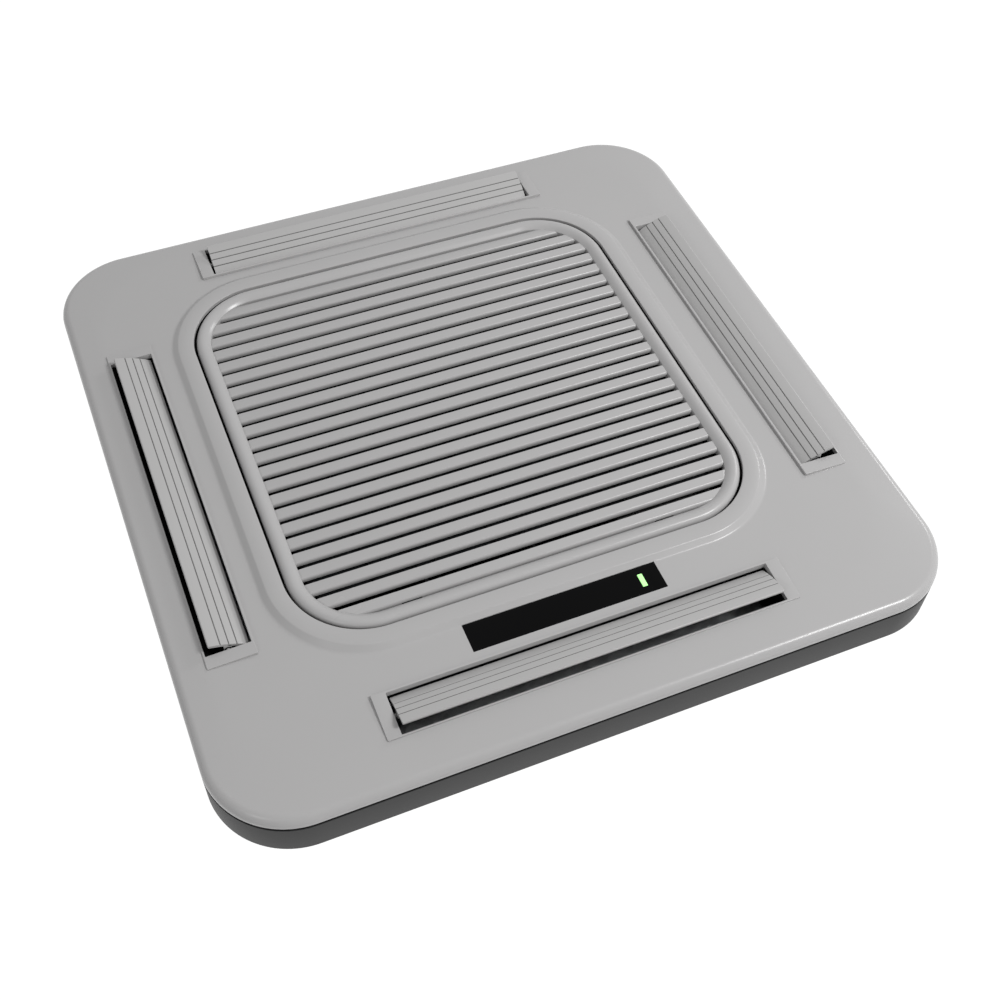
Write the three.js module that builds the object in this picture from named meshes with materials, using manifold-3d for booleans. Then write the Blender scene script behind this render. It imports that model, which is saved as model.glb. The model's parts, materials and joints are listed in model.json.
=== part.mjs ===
// Four-way ceiling cassette air conditioner, lying on its back: +Z points out of the room-side face,
// the display is on the -Y side, and z = 0 is the back plate of the casing. Millimetres.
import * as THREE from 'three';
import { mergeVertices } from 'three/addons/utils/BufferGeometryUtils.js';
import Module from 'manifold-3d';

const wasm = await Module();
wasm.setup();

// ---- driving dimensions ---------------------------------------------------------------------
const fit = 0.3; // gap between pieces that touch or rest on each other
const plasticWall = 2.5;

// fascia and the dark surround behind it
const panelSize = 950;
const panelCorner = 104;
const surroundHeight = 51;
const surroundMouth = 300; // half the opening in the surround's deck
const ceilingLip = { width: 30, drop: 0.5 }; // strip under the surround that lies on the ceiling
const mouthCorner = 60;
const shadowGap = 2; // dark line between surround and fascia
const fasciaEdge = 3; // upright part of the fascia's edge
const fasciaRound = 12; // radius over the fascia's edge
const fieldRise = 2; // from the end of the rounding up to the flat field
const creaseCorner = 125;
const collarRise = 7; // collar above the field
const collarWidth = 21.5; // from the seam to the collar's crease
const collarSlope = 8;

// middle of the four outlets, and middle of the grille, the display and the fan
const outletCentre = { x: -5, y: 10 };
const grilleCentre = { x: -10, y: 28 };

// intake grille
const seamMargin = { x: 59.5, y: 63.5 }; // from the outlets' inner edges to half the seam
const seamCorner = 101;
const seamGap = 3;
const grilleBorder = 20;
const grilleBorderThick = 18;
const grilleStand = 2; // crest of the border above the collar
const borderCrest = 8; // crest of the border from its outer edge
const borderShoulder = 8; // crest above the border's upright outer side
const borderFall = 5.5; // crest above the border's inner edge
const slatCount = 23;
const slatWidth = 17; // from a slat's round front edge to its thin back edge
const slatThick = 9; // at the round front edge
const slatBack = 1.6; // at the back edge
const slatSink = 5.5; // slats' flat tops below the border's crest
const ribWidth = 4;
const ribCount = 3;
const ribLap = 1; // ribs run this far into the slats' undersides

// hinge at the grille's back edge and latches at its front edge
const hingePinRadius = 2;
const hingeSpread = 150; // each hinge from the grille's middle line
const hingeKnuckle = 12;
const hingeEyeWall = 1.5;
const hingePost = 4; // thickness of a bracket's upright and of its foot
const hingeFoot = 20;
const hingeDrop = 6; // hinge axis below the grille's crest
const ledgeWidth = 18; // ledge under the grille's border, from the seam inwards
const latchSpread = 170;
const latchWidth = 20;
const latchLength = 24;
const latchThick = 4;
const latchClear = 1.2; // drawn-back tongue to the ledge
const latchNose = 3; // chamfer at the tongue's corners
const latchHousingWall = 3;

// filter under the grille
const filterInset = { x: 6, y: 34 }; // from the border's inner edge
const filterThick = 5;
const filterRim = 9;
const filterCorner = 40;
const filterCells = 7; // side by side, crossed by one bar in the middle
const filterBar = 3;
const netThick = 1;

// air outlets
const outletMargin = 46; // from a frame's outer edge to the panel's edge, were both centred alike
const outletWidth = 61;
const outletLength = 532;
const outletEndStrip = 17.5;
const outletInnerStrip = 3;
const outletOuterStrip = 2.2;
const outletStand = 4; // frame above the field at its inner edge
const outletTilt = 2.3; // fall of the frame's top to its outer edge
const ductWall = 1.2;
const ductLean = 32; // duct's shift towards the middle over its height

// air-guide flaps
const flapChord = 47.7;
const flapThick = 4;
const flapCrownRadius = 125;
const flapRestAngle = 23;
const flapStand = 11.3; // crown's middle above the pivot
const flapSetBack = 0.8; // crown's middle from the pivot, towards the grille
const flapEndGap = 3.5;
const flapPinRadius = 2.3;
const flapPivotDepth = 6; // below the frame's top
const flapWeb = 3;
const grooveWidth = 1.2;
const grooveDepth = 0.8;
const groovePitch = 10.5;
const grooveShift = -1.5; // middle groove from the flap's middle
const motorRadius = 12;
const motorLength = 14;
const motorShaftOffset = 8;
const motorEar = 17;

// display
const displayWidth = 255;
const displayDepth = 39;
const displayThick = 3;
const lampWidth = 6.4;
const lampDepth = 18.6;
const lampFromRight = 25;
const boardDrop = 6; // display board below the window
const boardThick = 1.6;

// casing behind the ceiling
const casingDepth = 175;
const airwayWidth = 130; // from the coil to the casing's outer face
const casingChamfer = 92;
const casingSheet = 1.2;
const casingOffset = { x: -5, y: 22 };
const casingFlange = 24;
const foamThick = 10;

// fan, motor and coil
const fanRadius = 212;
const fanInlet = 158;
const fanBladeCount = 7;
const bladeSweep = 0.75; // radians from root to tip
const bladeThick = 4.4;
const fanFloor = 30;
const fanHeight = 102;
const hubRadius = 92;
const hubHeight = 48;
const hubShoulder = 22; // drawn in from the hub's side to its top
const hubFlare = 14; // spread out from the hub's side to the plate
const bossRadius = 20;
const bossHeight = 12;
const bladeGap = 8; // from the hub's foot to the blades
const shroudDrop = 32;
const motorCanRadius = 74;
const motorCanHeight = 60;
const shaftRadius = 6;
const nutHeight = 8;
const shroudWall = 3;
const bellRadius = 150;
const bellWall = 3;
const bellFlare = 30;
const bellFlange = 8;
const bellDip = 5; // bell mouth's foot below the fan's rim
const coilHalf = 285;
const coilThick = 42;
const coilHeight = 124;
const coilCorner = 62;
const coilLap = 8;
const coilGap = 150; // open corner of the coil, where its pipes and the pump are
const endPlateSheet = 1.5;
const endPlateLap = 3; // end plate beyond the fins
const headerReach = 26; // headers beyond the coil's ends
const stubCount = 4;
const panThick = 34;
const panTrough = 12; // depth of the channel under the coil
const panPad = 24;
const panPadSpread = 180;

// pipes, drain and cable entry on the casing's right side
const pipeLevel = 84;
const pipeReach = 34; // pipes beyond the casing
const pipeWall = 1;
const gasRadius = 7.9;
const liquidRadius = 4.8;
const capNutLength = 19;
const capNutEnd = 3; // closed end of a cap nut
const drainRadius = 13;
const drainWall = 2;
const drainReach = 26;
const drainCollar = 6;
const drainLevel = 104;
const drainFromMiddle = 110;
const spigotRadius = 7;
const hoseWall = 2;
const hoseLap = 10; // hose over a spigot
const hoseFromSide = 30; // hose's line inside the casing's right wall
const pumpNeck = { radius: 16, height: 14 };
const pumpBody = { radius: 27, height: 36, bevel: 5 };
const pumpIntake = { radius: 18, height: 34, bore: 3 };
const pumpFromSide = { x: 80, y: 86 }; // its middle, inside the casing's right and back walls
const floatFromPump = { x: -62, y: 14 };
const floatDepth = 56; // float's foot below the drain pan
const stopWidth = 4; // a stop's rim beyond the stem
const stopHeight = 8;
const floatRadius = 9;
const floatHeight = 18;
const floatTravel = 16;
const stemRadius = 3;
const glandRadius = 12;
const glandBore = 5;
const glandReach = 16;
const glandPlace = { y: -202, z: 110 }; // from the casing's middle line, and above its back plate

// control box beside the bell mouth
const controlInset = { x: 60, y: 36 }; // its near corner, inside the square round the bell mouth
const controlSize = { x: 134, y: 110, z: 34 };
const controlSheet = 1.5;
const controlLap = 6;
const standoff = { width: 4, height: 4 };
const boardInset = 6;
const boardParts = [
  { x: 20, y: 20, width: 24, depth: 28, height: 18 }, // transformer
  { x: 60, y: 24, width: 24, depth: 16, height: 10 }, // relay
];
const capacitor = { x: 104, y: 34, radius: 8, height: 20 };
const terminals = { side: 24, back: 14, depth: 12, height: 9 };

// hanging lugs and panel screws
const lugSpread = 270;
const lugWidth = 46;
const lugReach = 34;
const lugSlot = 12;
const lugSlotLength = 18.7;
const lugLevel = 58;
const lugHeight = 40;
const lugSheet = 2.5;
const screwRadius = 2.2;
const screwHead = { radius: 5, height: 3.5 };
const screwLength = 17;

// ---- levels and places that follow ----------------------------------------------------------
const half = panelSize / 2;
const surroundTop = casingDepth + surroundHeight;
const fasciaFoot = surroundTop + shadowGap;
const roundTop = fasciaFoot + fasciaEdge + fasciaRound;
const field = roundTop + fieldRise;
const collarTop = field + collarRise;
const grilleTop = collarTop + grilleStand;
const outletInner = half - outletMargin - outletWidth; // from the outlets' middle to a frame
const seamHalf = { x: outletInner - seamMargin.x, y: outletInner - seamMargin.y };
const grilleHalf = { x: seamHalf.x - seamGap, y: seamHalf.y - seamGap };
const grilleFoot = grilleTop - grilleBorderThick;
const ledgeTop = grilleFoot - fit;
const deckTop = casingDepth + plasticWall;
const ductFoot = deckTop + fit;
const outletMid = outletInner + outletInnerStrip + slotWidth() / 2;
const frameTopInner = field + outletStand;
const frameTopMid = frameTopInner - outletTilt / 2;
const flapPivot = frameTopMid - flapPivotDepth;
const slotHalfLength = outletLength / 2 - outletEndStrip;
const hinge = { y: grilleCentre.y + grilleHalf.y - grilleBorder / 2, z: grilleTop - hingeDrop };
const displayCentre = { x: grilleCentre.x - 0.7, y: displayMiddle() };
const panFoot = casingDepth - fit - panThick;
const coilFoot = panFoot - fit - coilHeight;
const casingSize = 2 * (coilHalf + airwayWidth);
const casingRight = casingOffset.x + casingSize / 2;
const hoseLine = casingRight - hoseFromSide;
const bellRim = bellRadius + bellFlare + bellFlange;

function slotWidth() {
  return outletWidth - outletInnerStrip - outletOuterStrip;
}

// The display's back edge touches the foot of the collar.
function displayMiddle() {
  const collarFoot = grilleCentre.y - seamHalf.y - collarWidth - collarSlope;
  return collarFoot - fit - displayDepth / 2;
}

// ---- materials ------------------------------------------------------------------------------
const paint = (color, roughness, metalness = 0) =>
  new THREE.MeshStandardMaterial({ color, roughness, metalness });
const panelPlastic = paint(0xb9b9b7, 0.35);
const flapPlastic = paint(0xbdbdbb, 0.35);
const darkPlastic = paint(0x4d4d4d, 0.6);
const blackGloss = paint(0x0c0c0d, 0.12);
const lampGlow = paint(0xb4fa9a, 0.3);
const netPlastic = paint(0x3b3f44, 0.7);
const steelSheet = paint(0xa9adb0, 0.4, 0.9);
const brightSteel = paint(0xc8c9cb, 0.25, 1);
const foamWhite = paint(0xe6e6e2, 0.9);
const finAluminium = paint(0x9fb4bd, 0.35, 0.9);
const copper = paint(0xb87348, 0.3, 1);
const brass = paint(0xb79a55, 0.3, 1);
const fanPlastic = paint(0x8f979c, 0.5);
const boardGreen = paint(0x1f5a37, 0.5);
const rubberBlack = paint(0x1b1b1c, 0.8);

// ---- geometry helpers -----------------------------------------------------------------------
// A level outline with round corners, counter-clockwise, as points at height z.
function outline(centre, halfX, halfY, corner, z, steps = 8) {
  const points = [];
  const corners = [[1, 1], [-1, 1], [-1, -1], [1, -1]];
  corners.forEach(([sx, sy], quarter) => {
    for (let i = 0; i <= steps; i += 1) {
      const a = (quarter + i / steps) * Math.PI / 2;
      const x = centre.x + sx * (halfX - corner) + corner * Math.cos(a);
      const y = centre.y + sy * (halfY - corner) + corner * Math.sin(a);
      points.push(new THREE.Vector3(x, y, z));
    }
  });
  return points;
}

// Closed tube of quads through a loop of outlines: a ring-shaped shell.
function ringShell(outlines) {
  const count = outlines[0].length;
  const index = [];
  outlines.forEach((_, row) => {
    const next = (row + 1) % outlines.length;
    for (let i = 0; i < count; i += 1) {
      const j = (i + 1) % count;
      const [a, b] = [row * count + i, row * count + j];
      const [c, d] = [next * count + j, next * count + i];
      index.push(a, b, c, a, c, d);
    }
  });
  return indexed(outlines.flat(), index);
}

// Solid between level outlines from the lowest to the highest, closed flat at both ends.
function stack(outlines) {
  const count = outlines[0].length;
  const index = [];
  for (let row = 0; row + 1 < outlines.length; row += 1) {
    for (let i = 0; i < count; i += 1) {
      const j = (i + 1) % count;
      const [a, b] = [row * count + i, row * count + j];
      index.push(a, b, b + count, a, b + count, a + count);
    }
  }
  const top = (outlines.length - 1) * count;
  for (let i = 1; i + 1 < count; i += 1) {
    index.push(0, i + 1, i, top, top + i, top + i + 1);
  }
  return indexed(outlines.flat(), index);
}

function indexed(points, index) {
  const geometry = new THREE.BufferGeometry();
  geometry.setFromPoints(points);
  geometry.setIndex(index);
  return geometry;
}

// A solid for joining and cutting, from any closed geometry.
function solid(geometry) {
  const bare = geometry.clone();
  bare.deleteAttribute('normal');
  bare.deleteAttribute('uv');
  const merged = mergeVertices(bare, 1e-4);
  const vertProperties = new Float32Array(merged.attributes.position.array);
  const triVerts = new Uint32Array(merged.index.array);
  return new wasm.Manifold(new wasm.Mesh({ numProp: 3, vertProperties, triVerts }));
}

function block(x0, x1, y0, y1, z0, z1) {
  const geometry = new THREE.BoxGeometry(x1 - x0, y1 - y0, z1 - z0);
  return solid(geometry.translate((x0 + x1) / 2, (y0 + y1) / 2, (z0 + z1) / 2));
}

// Upright round bar from z0 to z1.
function bar(radius, x, y, z0, z1, sides = 12) {
  const geometry = new THREE.CylinderGeometry(radius, radius, z1 - z0, sides);
  return solid(geometry.rotateX(Math.PI / 2).translate(x, y, (z0 + z1) / 2));
}

// Level round bar along X from x0 to x1.
function crossBar(radius, x0, x1, y, z, sides = 12) {
  const geometry = new THREE.CylinderGeometry(radius, radius, x1 - x0, sides);
  return solid(geometry.rotateZ(Math.PI / 2).translate((x0 + x1) / 2, y, z));
}

// Level round bar along Y from y0 to y1.
function yBar(radius, x, y0, y1, z, sides = 12) {
  const geometry = new THREE.CylinderGeometry(radius, radius, y1 - y0, sides);
  return solid(geometry.translate(x, (y0 + y1) / 2, z));
}

// Turned solid round an upright axis, from [radius, z] points that close on themselves.
function turned(points, centre, segments = 32) {
  const profile = points.map(([r, z]) => new THREE.Vector2(r, z));
  if (THREE.ShapeUtils.isClockWise(profile)) profile.reverse();
  profile.push(profile[0].clone());
  const geometry = new THREE.LatheGeometry(profile, segments);
  return solid(geometry.rotateX(Math.PI / 2).translate(centre.x, centre.y, 0));
}

// Flat plate of any outline from z0 to z1.
function plate(points, z0, z1) {
  const shape = new THREE.Shape(points.map(([x, y]) => new THREE.Vector2(x, y)));
  const geometry = new THREE.ExtrudeGeometry(shape, { depth: z1 - z0, bevelEnabled: false });
  return solid(geometry.translate(0, 0, z0));
}

// Section drawn as [outward, up], run along X and centred there; outward is -Y.
function run(points, length) {
  const shape = new THREE.Shape(points.map(([a, b]) => new THREE.Vector2(a, b)));
  const geometry = new THREE.ExtrudeGeometry(shape, { depth: length, bevelEnabled: false });
  const turn = new THREE.Matrix4().makeBasis(
    new THREE.Vector3(0, -1, 0), new THREE.Vector3(0, 0, 1), new THREE.Vector3(-1, 0, 0));
  turn.setPosition(length / 2, 0, 0);
  return solid(geometry.applyMatrix4(turn));
}

const join = (first, ...others) => others.reduce((sum, piece) => sum.add(piece), first);
const cut = (body, ...tools) => tools.reduce((rest, tool) => rest.subtract(tool), body);
const degrees = (angle) => angle * Math.PI / 180;
const span = (a, b) => [Math.min(a, b), Math.max(a, b)];

const model = new THREE.Group();

function addPiece(name, body, material, parent = model, position = null) {
  const mesh = new THREE.Mesh(toGeometry(body), material);
  mesh.name = name;
  if (position) mesh.position.copy(position);
  parent.add(mesh);
}

function toGeometry(body) {
  const { vertProperties, triVerts, numProp } = body.getMesh();
  const geometry = new THREE.BufferGeometry();
  const positions = new Float32Array((vertProperties.length / numProp) * 3);
  for (let i = 0; i < positions.length / 3; i += 1) {
    for (let k = 0; k < 3; k += 1) positions[3 * i + k] = vertProperties[numProp * i + k];
  }
  geometry.setAttribute('position', new THREE.BufferAttribute(positions, 3));
  geometry.setIndex(new THREE.BufferAttribute(new Uint32Array(triVerts), 1));
  return geometry;
}

// ---- outlets: places ------------------------------------------------------------------------
const sides = ['front', 'right', 'back', 'left'];
const outletGroups = sides.map((_, quarter) => {
  const group = new THREE.Group();
  group.position.set(outletCentre.x, outletCentre.y, 0);
  group.rotation.z = quarter * Math.PI / 2;
  model.add(group);
  group.updateMatrixWorld();
  return group;
});

// A tool made at the front outlet, repeated at the four outlets.
function atOutlets(tool) {
  return sides.map((_, quarter) => {
    const turnedTool = toGeometry(tool);
    turnedTool.applyMatrix4(outletGroups[quarter].matrixWorld);
    return solid(turnedTool);
  });
}

// Passage along an outlet: upright through the fascia, then leaning towards the middle as it goes
// back. grow widens it.
function ductSolid(zFoot, zTop, grow) {
  const bend = field - 2 * plasticWall;
  const lean = (z) => Math.max(0, ductLean * (bend - z) / (bend - ductFoot));
  const [halfLength, halfWidth] = [slotHalfLength + grow, slotWidth() / 2 + grow];
  const at = (z) => outline({ x: 0, y: -outletMid + lean(z) }, halfLength, halfWidth, 1 + grow, z, 1);
  const levels = zTop > bend ? [zFoot, bend, zTop] : [zFoot, zTop];
  return solid(stack(levels.map(at)));
}

// ---- fascia ---------------------------------------------------------------------------------
const panelCentre = { x: 0, y: 0 };
const panelOutline = (step, z) => outline(panelCentre, half - step, half - step, panelCorner - step, z);

// Outlines up the rounded edge; inset draws the inner face of the shell.
function edgeRound(inset, steps) {
  const radius = fasciaRound - inset;
  const rings = [];
  for (let i = 0; i <= steps; i += 1) {
    const a = (i / steps) * Math.PI / 2;
    const step = inset + radius * (1 - Math.cos(a));
    rings.push(panelOutline(step, roundTop - fasciaRound + radius * Math.sin(a)));
  }
  return rings;
}

// Outline at a distance outside (or inside, negative) the seam round the grille.
function aroundSeam(offset, z) {
  return outline(grilleCentre, seamHalf.x + offset, seamHalf.y + offset, seamCorner + offset, z);
}

// Top surface from the edge to the seam, a ledge for the grille, and back under the surface.
function fasciaBody() {
  const creaseHalf = outletInner + outletWidth + 1;
  const crease = (z) => outline(outletCentre, creaseHalf, creaseHalf, creaseCorner, z);
  const skirtOut = plasticWall + fit;
  const skirtIn = skirtOut + plasticWall;
  const foot = collarWidth + collarSlope;
  const wall = plasticWall;
  const rings = [
    panelOutline(0, fasciaFoot),
    ...edgeRound(0, 5),
    crease(field),
    aroundSeam(foot + 1, field),
    aroundSeam(foot - 1, field + 0.5),
    aroundSeam(collarWidth + 1.5, collarTop - 1.2),
    aroundSeam(collarWidth - 2, collarTop - 0.2),
    aroundSeam(collarWidth / 2, collarTop + 0.2),
    aroundSeam(2, collarTop),
    aroundSeam(0, collarTop - 1.5),
    aroundSeam(0, ledgeTop),
    aroundSeam(-ledgeWidth, ledgeTop),
    aroundSeam(-ledgeWidth, ledgeTop - wall),
    aroundSeam(wall, ledgeTop - wall),
    aroundSeam(wall, collarTop - wall),
    aroundSeam(collarWidth - 2, collarTop - wall - 0.3),
    aroundSeam(foot - 1, field - wall),
    crease(field - wall),
    ...edgeRound(wall, 2).slice(1).reverse(),
    panelOutline(skirtIn, fasciaFoot + fasciaEdge - 2),
    panelOutline(skirtIn, ductFoot),
    panelOutline(skirtOut, ductFoot),
    panelOutline(skirtOut, fasciaFoot),
  ];
  return cut(solid(ringShell(rings)), ...atOutlets(frameSeat()), windowSeat(), hingeSweep());
}

// Opening under an outlet frame, hidden by the frame's edge all round.
function frameSeat() {
  const lap = 0.6;
  const [outer, inner] = [-outletInner - outletWidth + lap, -outletInner - lap];
  const end = outletLength / 2 - lap;
  return block(-end, end, outer, inner, field - 4 * plasticWall, field + 2 * outletStand);
}

function windowSeat() {
  const [w, d] = [displayWidth / 2 + fit, displayDepth / 2 + fit];
  const { x, y } = displayCentre;
  return block(x - w, x + w, y - d, y + d, field - 2 * plasticWall, field + plasticWall);
}

// Room that the grille's back border turns in, taken out of the ledge.
function hingeSweep() {
  const reach = Math.hypot(grilleBorder / 2, hinge.z - grilleFoot) + fit;
  const turn = crossBar(reach, -half, half, hinge.y, hinge.z, 24);
  const low = aroundSeam(-0.1, ledgeTop - 2 * plasticWall);
  const high = aroundSeam(-0.1, ledgeTop + 1);
  return turn.intersect(solid(stack([low, high])));
}

// ---- surround -------------------------------------------------------------------------------
const screwReach = casingSize / 2 - casingChamfer / 2 - casingFlange / 2;
const quarters = { back_right: [1, 1], back_left: [-1, 1], front_left: [-1, -1], front_right: [1, -1] };

function screwPlace([sx, sy]) {
  return { x: casingOffset.x + sx * screwReach, y: casingOffset.y + sy * screwReach };
}

function screwHoles(z0, z1) {
  return Object.values(quarters).map((corner) => {
    const { x, y } = screwPlace(corner);
    return bar(screwRadius + fit, x, y, z0, z1);
  });
}

function surroundBody() {
  const mouth = (z) => outline(outletCentre, surroundMouth, surroundMouth, mouthCorner, z);
  const deckFoot = casingDepth + ceilingLip.drop;
  const rings = [
    panelOutline(0, casingDepth), panelOutline(0, surroundTop), panelOutline(plasticWall, surroundTop),
    panelOutline(plasticWall, deckTop), mouth(deckTop), mouth(deckFoot),
    panelOutline(ceilingLip.width, deckFoot), panelOutline(ceilingLip.width, casingDepth),
  ];
  const passages = atOutlets(ductSolid(casingDepth - 1, deckTop + 1, 0));
  return cut(solid(ringShell(rings)), ...passages, ...screwHoles(casingDepth - 1, deckTop + 1));
}

// ---- grille ---------------------------------------------------------------------------------
function aroundGrille(offset, z) {
  const corner = seamCorner - seamGap - offset;
  return outline(grilleCentre, grilleHalf.x - offset, grilleHalf.y - offset, corner, z);
}

// Border: a quarter oval from its outer side to the crest, a parabola that falls to its inner edge,
// and a flat foot.
function grilleBorderBody() {
  const edge = 1.5;
  const rings = [
    aroundGrille(grilleBorder, grilleFoot), aroundGrille(edge, grilleFoot),
    aroundGrille(0, grilleFoot + edge)];
  const steps = 3;
  for (let i = 0; i <= steps; i += 1) {
    const a = (i / steps) * Math.PI / 2;
    const offset = borderCrest * (1 - Math.cos(a));
    rings.push(aroundGrille(offset, grilleTop - borderShoulder * (1 - Math.sin(a))));
  }
  for (let i = 1; i <= steps; i += 1) {
    const t = i / steps;
    const offset = borderCrest + (grilleBorder - edge / 2 - borderCrest) * t;
    rings.push(aroundGrille(offset, grilleTop - borderFall * t * t));
  }
  rings.push(aroundGrille(grilleBorder, grilleTop - borderFall - edge));
  return solid(ringShell(rings));
}

// One fat blade with a flat top: a half-round front edge and an underside that rises to a thin back
// edge.
function slatBody(y, length) {
  const r = slatThick / 2;
  const section = [];
  const steps = 5;
  for (let i = 0; i <= steps; i += 1) {
    const a = Math.PI / 2 - (i / steps) * Math.PI;
    section.push([slatWidth / 2 - r + r * Math.cos(a), r * Math.sin(a) - r]);
  }
  section.push([-slatWidth / 2, -slatBack], [-slatWidth / 2, 0]);
  return run(section, length).translate([grilleCentre.x, y, grilleTop - slatSink]);
}

function grilleBody() {
  const lap = 2; // bars run this far into the border
  const slatFoot = grilleTop - slatSink - slatThick;
  const openHalf = { x: grilleHalf.x - grilleBorder, y: grilleHalf.y - grilleBorder };
  const pitch = 2 * openHalf.y / slatCount;
  const within = solid(stack([
    aroundGrille(grilleBorder - lap, grilleFoot), aroundGrille(grilleBorder - lap, grilleTop - lap)]));
  const bars = [];
  for (let i = 0; i < slatCount; i += 1) {
    bars.push(slatBody(grilleCentre.y - openHalf.y + (i + 0.5) * pitch, 2 * openHalf.x + grilleBorder));
  }
  for (let i = 1; i <= ribCount; i += 1) {
    const x = grilleCentre.x + openHalf.x * (2 * i / (ribCount + 1) - 1);
    bars.push(block(x - ribWidth / 2, x + ribWidth / 2, -half, half, grilleFoot, slatFoot + ribLap));
  }
  const housings = [-1, 1].map(latchHousing);
  const ways = [-1, 1].map(latchWay);
  const notches = [-1, 1].map(hingeNotch);
  return cut(join(grilleBorderBody(), join(...bars).intersect(within), ...housings), ...ways, ...notches);
}

// Notch for a hinge bracket: open downwards and outwards, with room for the bracket's eye and a
// bore for the pin on both sides.
function hingeNotch(side) {
  const x = grilleCentre.x + side * hingeSpread;
  const w = hingeKnuckle / 2 + 2 * fit;
  const room = hingePinRadius + hingeEyeWall + fit;
  const bore = crossBar(hingePinRadius + fit, x - hingeKnuckle, x + hingeKnuckle, hinge.y, hinge.z);
  const eyeRoom = crossBar(room, x - w, x + w, hinge.y, hinge.z);
  const top = hinge.z + hingePost / 2 + fit;
  const notch = block(x - w, x + w, hinge.y - room, hinge.y + grilleBorder, grilleFoot - 1, top);
  return join(notch, eyeRoom, bore);
}

// ---- latches: tongues that slide out under the ledge, drawn back here -----------------------
const ledgeFront = grilleCentre.y - seamHalf.y + ledgeWidth; // the ledge's inner edge
const latchTip = ledgeFront + latchClear;
const latchTop = ledgeTop - plasticWall - fit;

function latchHousing(side) {
  const x = grilleCentre.x + side * latchSpread;
  const w = latchWidth / 2 + latchHousingWall;
  const foot = latchTop - latchThick - fit - 2;
  const top = grilleTop - slatSink - slatThick / 2;
  return block(x - w, x + w, latchTip - fit, latchTip + latchLength - 2, foot, top);
}

function latchWay(side) {
  const x = grilleCentre.x + side * latchSpread;
  const w = latchWidth / 2 + fit;
  const [near, far] = [latchTip - 2, latchTip + latchLength + 1];
  return block(x - w, x + w, near, far, latchTop - latchThick - fit, latchTop + fit);
}

function latchBody(side) {
  const x = grilleCentre.x + side * latchSpread;
  const w = latchWidth / 2;
  const back = latchTip + latchLength;
  return plate([
    [x - w, latchTip + latchNose], [x - w + latchNose, latchTip], [x + w - latchNose, latchTip],
    [x + w, latchTip + latchNose], [x + w, back], [x - w, back],
  ], latchTop - latchThick, latchTop);
}

// ---- hinge ----------------------------------------------------------------------------------
function hingeBracket(side) {
  const x = grilleCentre.x + side * hingeSpread;
  const w = hingeKnuckle / 2;
  const near = hinge.y - hingePost / 2;
  const footTop = ductFoot + hingePost;
  const post = block(x - w, x + w, near, near + hingePost, ductFoot, hinge.z);
  const foot = block(x - w, x + w, near, hinge.y + hingeFoot, ductFoot, footTop);
  const eye = crossBar(hingePinRadius + hingeEyeWall, x - w, x + w, hinge.y, hinge.z);
  const bore = crossBar(hingePinRadius + fit, x - w - 1, x + w + 1, hinge.y, hinge.z);
  return cut(join(post, foot, eye), bore);
}

function hingePin(side) {
  const x = grilleCentre.x + side * hingeSpread;
  const reach = hingeKnuckle - 0.5;
  return crossBar(hingePinRadius, x - reach, x + reach, hinge.y, hinge.z);
}

// ---- filter under the grille ----------------------------------------------------------------
const filterTop = grilleFoot - fit;
const filterFoot = filterTop - filterThick;
const filterHalf = {
  x: grilleHalf.x - grilleBorder - filterInset.x, y: grilleHalf.y - grilleBorder - filterInset.y,
};

function aroundFilter(offset, z) {
  return outline(grilleCentre, filterHalf.x - offset, filterHalf.y - offset, filterCorner - offset, z, 4);
}

function filterFrameBody() {
  const rim = ringShell([
    aroundFilter(0, filterFoot), aroundFilter(0, filterTop),
    aroundFilter(filterRim, filterTop), aroundFilter(filterRim, filterFoot)]);
  const w = filterBar / 2;
  const reach = { x: filterHalf.x - 2, y: filterHalf.y - 2 };
  const { x, y } = grilleCentre;
  const [foot, top] = [filterFoot + 2, filterTop - 0.5];
  const bars = [block(x - reach.x, x + reach.x, y - w, y + w, foot + 0.5, top - 0.5)];
  for (let i = 1; i < filterCells; i += 1) {
    const at = x + filterHalf.x * (2 * i / filterCells - 1);
    bars.push(block(at - w, at + w, y - reach.y, y + reach.y, foot, top));
  }
  return join(solid(rim), ...bars);
}

function filterNetBody() {
  const top = filterFoot - fit;
  return solid(stack([aroundFilter(1, top - netThick), aroundFilter(1, top)]));
}

// ---- air outlet frame, made at the front outlet ---------------------------------------------
function outletFrameBody() {
  const inner = -outletInner;
  const outer = inner - outletWidth;
  const foot = field + fit;
  const section = [
    [-outer, foot], [-outer, frameTopInner - outletTilt], [-inner, frameTopInner], [-inner, foot]];
  const duct = ductSolid(ductFoot, foot + 1, ductWall);
  const air = ductSolid(ductFoot - 1, frameTopInner + outletStand, 0);
  const end = outletLength / 2;
  const pinHole = crossBar(flapPinRadius + fit, -end - 1, end + 1, -outletMid, flapPivot);
  const tool = (make) => [-1, 1].map(make);
  const motorRooms = tool((side) => {
    const room = motorRadius + 1;
    const far = side * (end + 2);
    const near = side * (slotHalfLength + ductWall + fit);
    return block(...span(near, far), -outletMid - room, -outletMid + room, field - 20, frameTopMid - 1.7);
  });
  const cheeks = tool((side) => {
    const ends = span(side * slotHalfLength, side * (slotHalfLength + ductWall));
    return block(...ends, -outletMid - 22, -outletMid + 22, field - 18, frameTopMid - 1.6);
  });
  const shell = cut(join(run(section, outletLength), duct), ...motorRooms);
  return cut(join(shell, ...cheeks), air, pinHole);
}

// ---- flap, round its pivot ------------------------------------------------------------------
// Point of the crown: across is the distance along the arc from its middle, depth is below the surface.
function crownPoint(across, depth) {
  const rest = degrees(flapRestAngle);
  const a = rest - across / flapCrownRadius;
  const r = flapCrownRadius - depth;
  const centreOut = flapCrownRadius * Math.sin(rest) - flapSetBack;
  const centreUp = flapStand - flapCrownRadius * Math.cos(rest);
  return [centreOut - r * Math.sin(a), centreUp + r * Math.cos(a)];
}

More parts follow.
